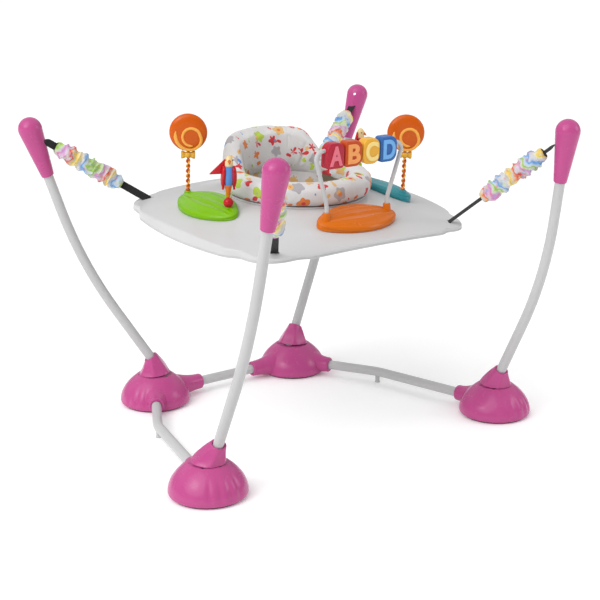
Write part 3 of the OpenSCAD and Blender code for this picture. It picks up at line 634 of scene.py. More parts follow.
tangent = LEG_R * tan(LEG_BEND / 2)
for name, c in CORNERS.items():
    bm = bmesh.new()
    first = (c.corner - c.neck).length - tangent + LEG_IN_NECK
    second = (c.dome - c.corner).length - tangent - LEG_SHORT
    bent_tube(bm, c.neck - LEG_IN_NECK * c.low, c.low, c.high, first, LEG_R, LEG_BEND, second)
    piece(name + "_leg", bm, white_paint, "frame", ["leg_" + name], "white_tube")
for label, side in SIDES.items():
    rear, front = CORNERS["rear_" + label], CORNERS["front_" + label]
    out, on = rear.side_way, -front.side_way
    bend = out.angle(on)
    cut = BASE_BEND_R * tan(bend / 2)
    start = Vector((*rear.foot, TUBE_Z)) + TUBE_IN_FOOT * out
    first = (PEGS[side] - start).length - cut
    second = (Vector((*front.foot, TUBE_Z)) - PEGS[side]).length - cut - TUBE_IN_FOOT
    bm = bmesh.new()
    bent_tube(bm, start, out, on, first, BASE_BEND_R, bend, second)
    piece("base_tube_" + label, bm, white_paint, "frame", ["side_tube_" + label], "white_tube")
bm = bmesh.new()
turned(bm, stand(Vector((-0.186, 0.376, TUBE_Z)), Vector((1, 0, 0)), UP),
       [(TUBE_R, 0), (TUBE_R, 0.372)], TUBE_SIDES, (True, True))
piece("base_tube_rear", bm, white_paint, "frame", ["rear_tube"], "white_tube")

# %% [markdown]
# ## Caps
#
# A cap is a pink bulb that tapers down the leg. It is turned from one profile, then the strap's
# slot and the two screw wells are cut out of it with closed boxes and rods, as a mould's slides
# would leave them, and a narrow bevel takes the sharp edges off. The small hard parts that the
# solids already show well, such as screws and pads, only get their finish.

# %% Cap
CAP_R, CAP_LEN, CAP_END, WELL_R = 0.0295, 0.126, 0.016, 0.0036
SCREWS = mm((2, 5), (84, 2.5))
slant = CAP_LEN ** 2 + CAP_END ** 2
cap_angle = asin((CAP_R * CAP_LEN - CAP_END * sqrt(slant - CAP_R ** 2)) / slant)


def cap_surface(drop):
    """Distance of the cap's skin from its axis, below the dome's centre."""
    if drop < CAP_R * sin(cap_angle):
        return sqrt(CAP_R ** 2 - drop ** 2)
    return CAP_R * cos(cap_angle) - (drop - CAP_R * sin(cap_angle)) * tan(cap_angle)


cap_profile = mm((12.8, -90), (12.8, -125.5), (13.4, -126), (15, -126), (15.8, -125.4), (16, -124.4))
cap_profile += [(cap_surface(d), -d) for d in (0.11, 0.09, 0.07, 0.05, 0.035, 0.022)]
cap_arc = [-cap_angle + (radians(89.3) + cap_angle) * i / 16 for i in range(17)]
cap_profile += [(CAP_R * cos(a), CAP_R * sin(a)) for a in cap_arc]
for name, c in CORNERS.items():
    bm = bmesh.new()
    turned(bm, c.cap_frame, cap_profile, 56, (True, True))
    cap = piece(name + "_cap", bm, pink_plastic, "frame", ["cap_" + name], "pink_plastic")
    cutter = bmesh.new()
    block(cutter, c.strap_frame, (0.0208, 0.0026, 0.060), 0.0415)
    for drop, sink in SCREWS:
        well = c.cap_frame @ shift(cap_surface(drop) - sink - 0.0004, 0, -drop) @ spun(90, "Y")
        turned(cutter, well, [(WELL_R, 0), (WELL_R, 0.020)], 24, (True, True))
    soft_edges(carve(cap, cutter), 0.0005)
print("cap half angle", round(cap_angle * 180 / pi, 1), "degrees")

# %% Finish of the small hard parts
for node, finish in (("foot_pads", black_rubber), ("pegs", white_paint), ("cap_screws", zinc),
                     ("strap_bars", black_plastic), ("seat_ring", tray_white),
                     ("seat_retainer", tray_white)):
    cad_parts[node].data.materials.clear()
    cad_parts[node].data.materials.append(finish)
    print(node, "in", finish.name)

# %% [markdown]
# ## Straps
#
# Black webbing leaves each cap, is hooked to a spring, and goes on to a slot in the tray. Webbing
# is flat with rounded selvedges, so its rings are squared ovals, and it is free to twist a little
# between its two slots. The tray bounces while the caps stand still, so every piece of this line is
# blended from the frame to the tray.

# %% Webbing
TWIST = {"front_right": 0, "front_left": -20, "rear_right": 60, "rear_left": 0}
COVER_AT, COVER_LEN, STRAP_GRIP = 0.067, 0.186, 0.014
STRAP_W, STRAP_T, STRAP_STEPS, STRAP_FROM = 0.020, 0.0016, 40, 0.012
TWIST_FROM, TWIST_OVER, TWIST_PAST, TWIST_BACK = 0.032, 0.016, 0.011, 0.005
WALL, BAR_DROP, STRAP_SHORT = 0.0035, 0.00415, 0.0042


def squared(v, power=0.35):
    return (1 if v >= 0 else -1) * abs(v) ** power


def strap_ring(name, z):
    """A flat squared oval across the strap's line, twisted between the two slots."""
    c = CORNERS[name]
    share = eased((z - TWIST_FROM) / TWIST_OVER) * eased((c.strap_len + TWIST_PAST - z) / TWIST_BACK)
    place = c.strap_frame @ spun(TWIST[name] * share)
    return lambda a: place @ Vector((STRAP_W / 2 * squared(cos(a)), STRAP_T / 2 * squared(sin(a)), z))


def hang(obj, c):
    """Lets a piece of the strap line stretch between the cap and the tray."""
    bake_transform(obj, "frame", "tray", start=tuple(c.anchor + 0.036 * c.strap),
             end=tuple(c.slot - 0.012 * c.strap))


for name, c in CORNERS.items():
    spot = c.slot_spot / DOME_R
    outward = TRAY.to_3x3() @ Vector((spot.x, spot.y, sqrt(1 - spot.x ** 2 - spot.y ** 2)))
    bar = -(WALL + BAR_DROP) / c.strap.dot(outward)
    for label, start, end in (("upper", STRAP_FROM, COVER_AT + STRAP_GRIP),
                              ("lower", COVER_AT + COVER_LEN - STRAP_GRIP,
                               c.strap_len + bar - STRAP_SHORT)):
        heights = [start + (end - start) * i / STRAP_STEPS for i in range(STRAP_STEPS + 1)]
        bm = bmesh.new()
        rings_through(bm, [strap_ring(name, z) for z in heights], 20, (True, True))
        hang(piece(f"{name}_{label}_strap", bm, webbing, None, [f"{label}_strap_{name}"], "webbing"), c)
print("straps hung:", 2 * len(CORNERS))

# %% [markdown]
# ## Springs
#
# A closed-coil tension spring sits inside each cover. One small circle of wire, spun round the
# strap's line with a little rise at each step, winds the whole coil in one operator.

# %% Spring coils
COIL_R, COIL_WIRE, COIL_TURNS, COIL_STEPS, COIL_GAP = 0.0086, 0.0013, 26, 14, 0.004
coil_len = COVER_LEN - 2 * (STRAP_GRIP + COIL_GAP)
for name, c in CORNERS.items():
    bm = bmesh.new()
    wound(bm, c.strap_frame @ shift(z=COVER_AT + STRAP_GRIP + COIL_GAP), COIL_R, COIL_WIRE, 8,
          COIL_TURNS, COIL_TURNS * COIL_STEPS, coil_len)
    hang(piece(name + "_spring", bm, zinc, None, ["springs"], "steel"), c)
print("coil of", COIL_TURNS, "turns over", round(coil_len * 1000), "mm")

# %% [markdown]
# ## Gathered covers
#
# A sleeve of printed cotton, cut wider and longer than the coil, is pushed together over each
# spring, so that no finger meets the coils. Such cloth lies in deep, uneven rings with smaller
# puckers between. The sleeve is a tube of many rings, and ridged noise that runs mostly round the
# tube gives the gathers. Two UV directions, round and along, carry the printed stripes.

# %% Cover print
PALE = (0.60, 0.615, 0.64)
STRIPES = [(0.0, PALE), (0.07, (0.10, 0.30, 0.66)), (0.13, (0.42, 0.60, 0.80)), (0.19, PALE),
           (0.25, (0.27, 0.50, 0.05)), (0.31, (0.55, 0.68, 0.35)), (0.36, PALE),
           (0.43, (0.62, 0.22, 0.50)), (0.50, (0.72, 0.50, 0.68)), (0.56, PALE),
           (0.63, (0.70, 0.05, 0.05)), (0.68, (0.80, 0.34, 0.14)), (0.74, PALE),
           (0.81, (0.80, 0.56, 0.06)), (0.88, (0.82, 0.72, 0.40)), (0.94, PALE)]
SPOTS = [(0.0, (0.80, 0.10, 0.12)), (0.34, (0.16, 0.44, 0.78)), (0.55, (0.50, 0.68, 0.10)),
         (0.75, (0.90, 0.55, 0.10))]
cover_cotton, wire, shader = blank_material("cover_cotton")
uv = wire.node("UVMap")
uv.uv_map = "cover"
along = wire.apart(uv.outputs[0])[1]
blur = wire.math("MULTIPLY", wire.noise(wire.coords(), 24.0, 2.0), 0.9)
band = wire.math("FRACT", wire.math("MULTIPLY_ADD", along, 1.9, blur))
cells = wire.node("TexVoronoi", Vector=wire.coords(), Scale=75.0).outputs
spotted = wire.math("MULTIPLY", wire.math("LESS_THAN", cells["Distance"], 0.30), 0.4)
printed = wire.mix(spotted, wire.ramp(band, STRIPES), wire.ramp(cells["Color"], SPOTS, "CONSTANT"))
weave(wire, shader, printed, 1800.0, 0.2, 0.25, 0.0006)
print("stripes in the cover print:", len(STRIPES))

# %% Gathered sleeves
COVER_STEPS, COVER_IN, COVER_OUT, COVER_SWELL = 150, 0.0118, 0.0252, 0.0128
CLOTH_T, CLOTH_ROUND = 0.0005, 0.150


def fold(p):
    """Sharp-crested waves from smooth noise."""
    return (1 - abs(noise.noise(p))) ** 2.4


def cover_ring(c, t, seed):
    ends = min(1, 7 * t) ** 0.6 * min(1, 7 * (1 - t)) ** 0.6
    plump = 0.84 + 0.2 * noise.noise(Vector((seed, 0, 3 * t)))

    def point(a):
        gather = 0.25 + 0.95 * fold(polar(0.55, a, 13.0 * t + seed))
        pucker = 0.0022 * ends * noise.noise(polar(2.2, a, 30.0 * t + seed))
        radius = min(COVER_OUT, COVER_IN + COVER_SWELL * ends * gather * plump + pucker)
        stray = 0.003 * noise.noise(polar(1, a, 11 * t + seed))
        return c.strap_frame @ polar(radius, a, COVER_AT + COVER_LEN * t + stray)
    return point


for k, (name, c) in enumerate(CORNERS.items()):
    bm = bmesh.new()
    rings_through(bm, [cover_ring(c, i / COVER_STEPS, 3.7 * k + 1.3) for i in range(COVER_STEPS + 1)], 72)
    cloth_area = sum(f.calc_area() for f in bm.faces)
    bmesh.ops.solidify(bm, geom=bm.faces[:], thickness=CLOTH_T)
    uv_layer = bm.loops.layers.uv.new("cover")
    turn = bm.verts.layers.float["turn"]
    back = c.strap_frame.inverted()
    for loop in (loop for face in bm.faces for loop in face.loops):
        along = ((back @ loop.vert.co).z - COVER_AT) / COVER_LEN
        loop[uv_layer].uv = (loop.vert[turn] / (2 * pi) + 0.5, along + 0.21 * k)
    sleeve = piece(name + "_cover", bm, cover_cotton, None, ["spring_cover_" + name], "cover_fabric", 180)
    hang(sleeve, c)
    print(name, "sleeve is cut", round(cloth_area / CLOTH_ROUND, 3), "m long")

# %% [markdown]
# ## Tray
#
# The tray is one large moulding: a low dome with bulging sides and a rounded lobe at each corner,
# a cone that rises to the seat, and a rolled edge with a fine double line near its foot. All of it
# is a single tube of rings that runs over the top, round the edge and back underneath, so the wall
# has its real thickness. The outline is found once, as the reach of the plan in each direction.

# %% Tray outline
PLAN = 720
ENDS = (-1, 1)
LOBE_AT, LOBE_R, CORNER_R = 0.233, 0.082, 0.385
SIDE_AT, SIDE_R, END_AT, END_R = 0.544, 0.900, 2.260, 2.600


def in_tray_plan(x, y):
    """Four corner lobes, joined by two side arcs and two end arcs."""
    if any(hypot(x - u * LOBE_AT, y - v * LOBE_AT) <= LOBE_R for u in ENDS for v in ENDS):
        return True
    arcs = [hypot(x - s * SIDE_AT, y) <= SIDE_R and hypot(x, y - s * END_AT) <= END_R for s in ENDS]
    return all(arcs) and hypot(x, y) <= CORNER_R


def plan_reach(a):
    near, far = 0.30, 0.45
    for _ in range(30):
        mid = (near + far) / 2
        near, far = (mid, far) if in_tray_plan(mid * cos(a), mid * sin(a)) else (near, mid)
    return near


sharp_reach = [plan_reach(2 * pi * i / PLAN) for i in range(PLAN)]
smooth_reach = [sum(sharp_reach[(i + j) % PLAN] * (6 - abs(j)) for j in range(-5, 6)) / 36
                for i in range(PLAN)]


def tray_reach(a):
    f = (a / (2 * pi) * PLAN) % PLAN
    i = int(f)
    return smooth_reach[i % PLAN] * (1 - f + i) + smooth_reach[(i + 1) % PLAN] * (f - i)


print("tray reaches", round(min(smooth_reach), 3), "to", round(max(smooth_reach), 3), "m")

# %% Tray
HUB_IN, HUB_BROW, HUB_OUT, HUB_FOOT, LEDGE, ROLL = 0.174, 0.184, 0.296, 0.304, 0.040, 0.005
HUB_LIP = mm((150, 36.4), (150, 39.2), (150.8, 40), (172.5, 40), (176.5, 39.7), (181, 38.9))
EDGE_LINES = mm((0, 5.2), (0.9, 4.7), (0.9, 4.2), (0, 3.7), (-0.4, 3.0), (0.5, 2.6), (0.5, 2.1),
                (-0.4, 1.6), (-0.4, 0.5), (0.4, 0), (3.1, 0), (3.5, 0.6))
SKIRT = (0, 0.25, 0.5, 0.75, 1)
CONE_IN, CONE_OUT, FILLET_R, EDGE_DROP, EDGE_SAG = 0.186, 0.290, 0.297, 0.012, 6.0


def hub_z(r):
    return LEDGE - 0.0015 - (r - HUB_BROW) * (LEDGE - 0.0019 - dome_z(HUB_OUT)) / (HUB_OUT - HUB_BROW)


def edge_ring(inset, above):
    """A ring that follows the outline: above(reach, foot) gives its height."""
    def point(a):
        far = tray_reach(a)
        foot = -EDGE_DROP - (far * cos(a)) ** 2 / EDGE_SAG
        return TRAY @ polar(far - inset, a, above(far, foot))
    return point


def skirt_ring(share, drop):
    """A ring part of the way from the cone's foot to the rolled edge, on the dome."""
    def point(a):
        r = HUB_FOOT + share * (tray_reach(a) - ROLL - HUB_FOOT)
        return TRAY @ polar(r, a, dome_z(r) - drop)
    return point


cone = [CONE_IN + (CONE_OUT - CONE_IN) * i / 8 for i in range(9)]
rings = [round_ring(TRAY, r, z) for r, z in HUB_LIP]
rings += [round_ring(TRAY, r, hub_z(r)) for r in cone]
rings.append(round_ring(TRAY, FILLET_R, dome_z(FILLET_R) + 0.0006))
rings += [skirt_ring(share, 0) for share in SKIRT]
for a in [pi / 2 * i / 6 for i in range(1, 7)]:
    rings.append(edge_ring(ROLL * (1 - sin(a)),
                           lambda far, foot, a=a: dome_z(far - ROLL) - ROLL * (1 - cos(a))))
rings += [edge_ring(inset, lambda far, foot, up=up: foot + up) for inset, up in EDGE_LINES]
rings.append(edge_ring(WALL, lambda far, foot: dome_z(far - ROLL) - ROLL))
rings += [skirt_ring(share, WALL) for share in SKIRT[::-1]]
rings += [round_ring(TRAY, r, hub_z(r) - WALL) for r in cone[::-1]]
rings += [round_ring(TRAY, 0.172, 0.036), round_ring(TRAY, 0.150, 0.0364)]
bm = bmesh.new()
rings_through(bm, rings, 320)
tray = piece("tray_moulding", bm, tray_white, "tray", ["tray"], "white_plastic", 50)
cutter = bmesh.new()
for name, c in CORNERS.items():
    block(cutter, c.strap_frame @ spun(TWIST[name]), (0.024, 0.0056, 0.048), c.strap_len)
carve(tray, cutter)
print("tray faces:", len(tray.data.polygons))

# %% [markdown]
# ## Seat
#
# The seat is a fat padded roll that rises to a back, sewn from white cotton with a scattered print.
# Stuffed cloth is best left to the cloth solver: a slightly slack closed form is remeshed into even
# quads, blown up a little with inside pressure, and kept from wandering. The seams come after that,
# as narrow channels pressed into the swollen skin. The print is made of plain shapes: petalled
# dots, leaves and strokes, each in its own cell of a cell texture.

# %% Seat print
RED, RUST, LIME = (0.62, 0.03, 0.04), (0.72, 0.20, 0.04), (0.44, 0.58, 0.06)
GREY, SKY, TAN = (0.40, 0.38, 0.40), (0.12, 0.28, 0.60), (0.72, 0.44, 0.16)
DOTS = [(0, RED), (0.2, LIME), (0.4, RUST), (0.58, TAN), (0.74, GREY), (0.88, RED)]
LEAVES = [(0, RUST), (0.3, TAN), (0.55, LIME), (0.7, SKY), (0.85, RED)]
MOTIF_CELL, GROUND = 27.0, (0.66, 0.65, 0.645, 1)


def motif_layer(wire, below, scale, stretch, moved, size, petals, deep, palette):
    """Petalled spots with a heart in another colour, printed over what is below."""
    place = wire.node("Mapping", Vector=wire.coords(), Location=moved, Rotation=(0.5, 0.3, 0.8),
                      Scale=stretch).outputs[0]
    cells = wire.node("TexVoronoi", Vector=place, Scale=scale, Randomness=0.8).outputs
    offset = wire.node("VectorMath", i0=place, i1=cells["Position"])
    offset.operation = "SUBTRACT"
    axes = wire.apart(offset.outputs[0])
    chance = wire.node("SeparateColor", i0=cells["Color"]).outputs
    turn = wire.math("ARCTAN2", wire.math("MULTIPLY_ADD", axes[1], 0.7, axes[0]), axes[2])
    start = wire.math("MULTIPLY", chance[0], 6.3)
    lobes = wire.math("SINE", wire.math("MULTIPLY_ADD", turn, petals, start))
    edge = wire.math("MULTIPLY_ADD", lobes, deep, cells["Distance"])
    limit = wire.math("MULTIPLY_ADD", chance[1], 0.4 * size, 0.7 * size)
    inside = wire.math("LESS_THAN", edge, limit)
    heart = wire.math("LESS_THAN", cells["Distance"], wire.math("MULTIPLY", limit, 0.38))
    hearts = [(at, tint) for (at, _), (_, tint) in zip(palette, palette[::-1])]
    tint = wire.mix(heart, wire.ramp(chance[0], palette, "CONSTANT"),
                    wire.ramp(chance[2], hearts, "CONSTANT"))
    return wire.mix(inside, below, tint)


seat_cotton, wire, shader = blank_material("seat_cotton")
dotted = motif_layer(wire, GROUND, MOTIF_CELL, (1, 1, 1), (0, 0, 0), 0.40, 5.0, 0.06, DOTS)
leafy = motif_layer(wire, dotted, MOTIF_CELL * 1.45, (1, 0.5, 1), (0.31, 0.17, 0.05), 0.25, 2.0, 0.05,
                    LEAVES)
weave(wire, shader, leafy, 2200.0, 0.15, 0.2, 0.0006)
print("seat finish:", seat_cotton.name)

# %% Seat pad before stuffing
RING_TOP, PAD_R, PAD_HALF, SLACK = 0.044, 0.156, 0.030, 0.0012
PAD_LOW, BACK_RISE, BACK_SPAN, BACK_BLEND, BACK_LEAN = 0.054, 0.078, 54.0, 30, 0.014


def back_share(deg):
    """How much of the back's height the pad has at an angle from the rear."""
    return eased((BACK_SPAN + 13 - abs(deg)) / BACK_BLEND)


def pad_height(deg):
    return PAD_LOW + BACK_RISE * back_share(deg) * (0.8 + 0.2 * cos(radians(deg * 90 / BACK_SPAN)))


def pad_ring(deg):
    share, tall = back_share(deg), pad_height(deg)

    def point(b):
        up = 0.5 + 0.5 * squared(sin(b), 0.7)
        half = (PAD_HALF - SLACK) * (1 - 0.42 * share * up)
        r = PAD_R + BACK_LEAN * share * up + half * squared(cos(b), 0.7)
        z = RING_TOP + 0.0008 + SLACK * 0.3 + (tall - 1.3 * SLACK) * up
        return TRAY @ Vector((r * sin(radians(deg)), r * cos(radians(deg)), z))
    return point


bm = bmesh.new()
rings_through(bm, [pad_ring(-180 + 3 * i) for i in range(121)], 40)
pad = finish_mesh("seat_padding", bm, [seat_cotton], 180)
print("pad stands", round(pad_height(0) * 1000), "mm high at the back")

# %% Stuff the pad
PAD_VOXEL, PAD_PRESSURE, PAD_FRAMES, MOST_SWELL = 0.005, 4.0, 20, 0.006
grid = pad.modifiers.new("even_quads", "REMESH")
grid.mode = "VOXEL"
grid.voxel_size = PAD_VOXEL
mesh = settled(pad)
pad.data = mesh
slack_points = [v.co.copy() for v in mesh.vertices]
cloth = pad.modifiers.new("stuffing", "CLOTH")
cloth.settings.use_pressure = True
cloth.settings.uniform_pressure_force = PAD_PRESSURE
cloth.settings.effector_weights.gravity = 0
cloth.settings.quality = 6
cloth.point_cache.frame_start = 1
cloth.point_cache.frame_end = PAD_FRAMES
for number in range(1, PAD_FRAMES + 1):
    scene.frame_set(number)
swollen = pad.evaluated_get(bpy.context.evaluated_depsgraph_get()).to_mesh()
moved = [v.co.copy() for v in swollen.vertices]
pad.modifiers.clear()
scene.frame_set(1)
swells = []
for v, was, now in zip(mesh.vertices, slack_points, moved):
    step = now - was
    v.co = was + step * min(1.0, MOST_SWELL / max(step.length, 1e-9))
    swells.append((v.co - was).length)
print("pad swelled by up to", round(1000 * max(swells), 1), "mm")

# %% Press in the seams
SIDE_SEAMS, SEAM_W, SEAM_DEEP = (-96, 96, -26, 26), 0.0016, 0.0014
BACK_SEAM_Z, BACK_SEAM_W, BACK_SEAM_DEEP = 0.045, 0.0035, 0.0045
PAD_FLOOR = RING_TOP + 0.0006
home = TRAY.inverted()
bm = bmesh.new()
bm.from_mesh(pad.data)
bmesh.ops.smooth_vert(bm, verts=bm.verts, factor=0.5, use_axis_x=True, use_axis_y=True, use_axis_z=True)
bmesh.ops.subdivide_edges(bm, edges=bm.edges[:], cuts=1, use_grid_fill=True, smooth=1.0)
bm.normal_update()


def channel(distance, width, depth):
    """Depth of a soft groove at a distance from its middle."""
    return depth * exp(-((distance / width) ** 2))


for v in bm.verts:
    p = home @ v.co
    deg = atan2(p.x, p.y) * 180 / pi
    r, up = hypot(p.x, p.y), p.z - RING_TOP
    press = 0.0
    if r > 0.150:
        near_back = max(0.0, min(1.0, (72 - abs(deg)) / 14))
        sag = 0.006 * cos(radians(deg * 1.4))
        press += channel(up - BACK_SEAM_Z - sag, BACK_SEAM_W, BACK_SEAM_DEEP) * near_back
    if r > 0.168 or up > 0.075:
        press += sum(channel(radians(deg - at) * r, SEAM_W, SEAM_DEEP) for at in SIDE_SEAMS)
    ripple = 0.0011 * noise.noise(p * 26) + 0.0005 * noise.noise(p * 70)
    v.co -= v.normal * (press - ripple * min(1.0, up / 0.01))
    q = home @ v.co
    if q.z < PAD_FLOOR:
        q.z = PAD_FLOOR
        v.co = TRAY @ q
bm.to_mesh(pad.data)
bm.free()
pad.data.shade_smooth()
pad.data.materials.clear()
pad.data.materials.append(seat_cotton)
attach(pad, "seat")
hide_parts("seat_pad")
print("pad quads:", len(pad.data.polygons))

# %% [markdown]
# ## Sling
#
# Under the ring hangs a cloth bucket with two openings for the legs. It starts as a tube of rings
# with the bucket's profile. The faces inside each opening are deleted, the edge that is left is
# drawn onto a true circle, and a thin roll of binding is swept along it. The back is printed like
# the pad, and the front and the bottom are a dark cloth, which is painted shade for the inside of
# the bucket.

# %% Sling bucket
BUCKET = mm((4, -98.5), (30, -99), (52, -98.5), (68, -96.5), (82, -92), (93, -85.5), (102, -76),
            (110, -64), (116, -52), (122, -40), (128, -28), (132, -17), (135, -6), (136, 5),
            (135.5, 16), (134, 27), (131.5, 38), (129.5, 48), (128, 58))
PAINTED_SHADE_FROM, PAINTED_SHADE_Z = 66, -0.030
HOLE_R, HOLE_CUT, HOLE_NEAR, BINDING_R, SLING_W = 0.0435, 0.043, 0.055, 0.0022, 0.45
# A dark cloth for the front and the bottom of the bucket: its darkness is painted shade, the shade that
# falls inside the bucket.
painted_shade_cotton = plain_cloth("painted_shade_cotton", (0.17, 0.14, 0.085), 1400.0, 0.2, 0.3)
holes = [TRAY @ spun(32 * side) @ shift(z=-0.034) @ spun(100, "X") for side in SIDES.values()]
loops = [[], []]


def in_hole(hole, point, radius):
    """The point in the hole's own frame, if it is within a radius of the hole's axis."""
    q = hole.inverted() @ point
    return q if q.z > 0 and q.xy.length < radius else None


bm = bmesh.new()
turned(bm, TRAY, BUCKET, 128, (True, False))
bmesh.ops.subdivide_edges(bm, edges=[e for e in bm.edges if e.calc_length() > 0.005], cuts=1,
                          use_grid_fill=True)
for hole in holes:
    gone = [f for f in bm.faces if in_hole(hole, f.calc_center_median(), HOLE_CUT)]
    bmesh.ops.delete(bm, geom=gone, context="FACES")
for v in bm.verts:
    for hole, loop in zip(holes, loops):
        q = in_hole(hole, v.co, HOLE_NEAR) if v.is_boundary else None
        if q:
            flat = q.xy.normalized() * HOLE_R
            v.co = hole @ Vector((flat.x, flat.y, q.z))
            loop.append((atan2(q.y, q.x), v.co.copy()))
for v in bm.verts:
    p = home @ v.co
    out = Vector((p.x, p.y, 0)).normalized()
    if not v.is_boundary and hypot(p.x, p.y) > 0.02:
        v.co = TRAY @ (p + out * 0.0012 * noise.noise(p * 30))
    if p.z > 0.02:
        ease = 0.0015 + 0.008 * back_share(atan2(p.x, p.y) * 180 / pi)
        v.co = TRAY @ (home @ v.co + out * ease * eased((p.z - 0.02) / 0.038))
# Faces far from the back, and low faces, take the dark cloth of painted shade; the rest keep the print.
for face in bm.faces:
    p = home @ face.calc_center_median()
    face.material_index = int(abs(atan2(p.x, p.y)) > radians(PAINTED_SHADE_FROM) or p.z < PAINTED_SHADE_Z)
sling_area = sum(f.calc_area() for f in bm.faces)
sling = piece("seat_bucket", bm, [seat_cotton, painted_shade_cotton], "seat", ["seat_sling"], "seat_fabric", 180)
print("bucket cloth", round(sling_area, 3), "square metres")

# %% Leg bindings
bm = bmesh.new()
for hole, loop in zip(holes, loops):
    rim = [p for _, p in sorted(loop, key=lambda item: item[0])]
    rim = [rim[-1], *rim, rim[0], rim[1]]
    rings = []
    for before, here, after in zip(rim, rim[1:], rim[2:]):
        ahead = (after - before).normalized()
        rings.append(round_ring(stand(here, ahead, across(hole.col[2].to_3d(), ahead)), BINDING_R))
    rings_through(bm, rings, 8)
binding = piece("leg_bindings", bm, webbing, "seat", slot="webbing", sharp=180)
print("points round each opening:", [len(loop) for loop in loops])

# %% [markdown]
# ## Toy bases
#
# Each base is a glossy leaf-shaped shell on the tray's cone, with ridges that run from tip to tip
# like the ribs of a leaf, and a boss for each toy. Its rings are ovals of one family. The foot ring
# takes its height from the tray under it, so the shell sits on the curved cone all round.

# %% Toy finishes
green_plastic = moulded("green_plastic", (0.19, 0.46, 0.002), 0.2, coat=0.08)
orange_plastic = moulded("orange_plastic", (0.66, 0.150, 0.004), 0.2)
teal_plastic = moulded("teal_plastic", (0.032, 0.262, 0.305), 0.24, coat=0.15)
candy_plastic = moulded("candy_plastic", (0.61, 0.100, 0.002), 0.24, coat=0.08)
swirl_plastic = moulded("swirl_plastic", (0.90, 0.42, 0.07), 0.26)
yellow_plastic = moulded("yellow_plastic", (0.752, 0.402, 0.045))
red_plastic = moulded("red_plastic", (0.515, 0.010, 0.017), 0.22, coat=0.12)
cream_plastic = moulded("cream_plastic", (0.78, 0.60, 0.30), 0.3)
blue_plastic = moulded("blue_plastic", (0.10, 0.27, 0.62), 0.26, coat=0.15)
lime_plastic = moulded("lime_plastic", (0.42, 0.58, 0.02), 0.26)
print("plastics:", [m.name for m in bpy.data.materials if m.name.endswith("plastic")])

# %% Leaf shells
TOY_SLOPE = atan((hub_z(HUB_BROW) - hub_z(HUB_OUT)) / (HUB_OUT - HUB_BROW))
TOY_TURN = {"front": -90, "right": 180, "left": 0}
TOY_R, TOY_BACK = 0.240, 0.030
LEAF, LEAF_X, LEAF_Y = 0.2, 0.056, 0.113
LEAF_STEP, LEAF_RISE, RIB_H, RIBS = 0.0048, 0.0152, 0.0026, 2.2


def toy_frame(label):
    back = 0.0 if label == "front" else TOY_BACK
    return TRAY @ spun(TOY_TURN[label]) @ shift(TOY_R, -back, hub_z(hypot(TOY_R, back)))


def tray_top(r):
    return LEDGE if r < HUB_IN else hub_z(r) if r < HUB_OUT else dome_z(r)


def leaf(share, a, z=0.0):
    """A point of one of the leaf's ovals."""
    return Vector((LEAF_X * share * cos(a) * (1 - LEAF * sin(a) ** 2), LEAF_Y * share * sin(a), z))


def oval_ring(place, share, height, ribs=0.0):
    """An oval of the leaf, lifted by its ribs."""
    def point(a):
        rib = share * cos(a) / max(0.02, sqrt(max(0.0, 1 - (share * sin(a)) ** 2)))
        lift = ribs * (0.5 + 0.5 * cos(2 * pi * RIBS * rib)) * (1 - share ** 8)
        return place @ leaf(share, a, height + lift)
    return point


def foot_ring(place, share, above):
    """An oval of the leaf that lies a little above the tray."""
    def point(a):
        p = home @ (place @ leaf(share, a))
        p.z = tray_top(hypot(p.x, p.y)) + above
        return TRAY @ p
    return point


def toy_base(label, finish, slot, posts, boss, bore):
    place = toy_frame(label)
    tilted = place @ Matrix.Rotation(TOY_SLOPE, 4, "Y")
    rings = [foot_ring(tilted, 0.985, 0.0004), foot_ring(tilted, 1.0, 0.0012)]
    rings += [oval_ring(tilted, share, height) for share, height in
              ((1.0, 0.0030), (0.992, 0.0036), (0.992, 0.0042), (1.0, LEAF_STEP))]
    rings += [oval_ring(tilted, cos(a) ** 0.8, LEAF_STEP + LEAF_RISE * sin(a), RIB_H)
              for a in [pi / 2 * i / 30 for i in range(1, 30)]]
    bm = bmesh.new()
    rings_through(bm, rings, 144, (False, True))
    boss_profile = [(0.0140, 0.0), (0.0118, boss * 0.35), (0.0100, boss * 0.62), (0.0091, boss * 0.8),
                    (0.0089, boss - 0.003), (0.0084, boss - 0.001), (0.0068, boss),
                    (bore + 0.0004, boss), (bore, boss - 0.0006), (bore, boss - 0.010)]
    for x, y in posts:
        turned(bm, place @ shift(x, y), boss_profile, 32)
    piece("toy_base_" + label + "_shell", bm, finish, "tray", ["toy_base_" + label], slot, 60)


POP_POST, BIRD_POST = SIDE_POSTS = [(-0.005, -0.098), (-0.005, 0.080)]
toy_base("front", orange_plastic, "orange_plastic", [(0, -0.090), (0, 0.090)], 0.030, 0.0052)
toy_base("right", green_plastic, "green_plastic", SIDE_POSTS, 0.020, 0.0042)
toy_base("left", teal_plastic, "teal_plastic", SIDE_POSTS, 0.020, 0.0042)
print("leaf shells slope", round(TOY_SLOPE * 180 / pi, 1), "degrees")

# %% [markdown]
# ## Bead rod and letter beads
#
# A white rod stands on the front base and carries four chunky letter beads. The rod's line is
# walked like a drawing turtle: straights and bends in one plane. A bead is a cube with rounded
# edges, bored for the rod, with a paler letter raised on both faces. The letters come from Blender's
# own plain font, thickened and made into mesh before they are set on the bead.

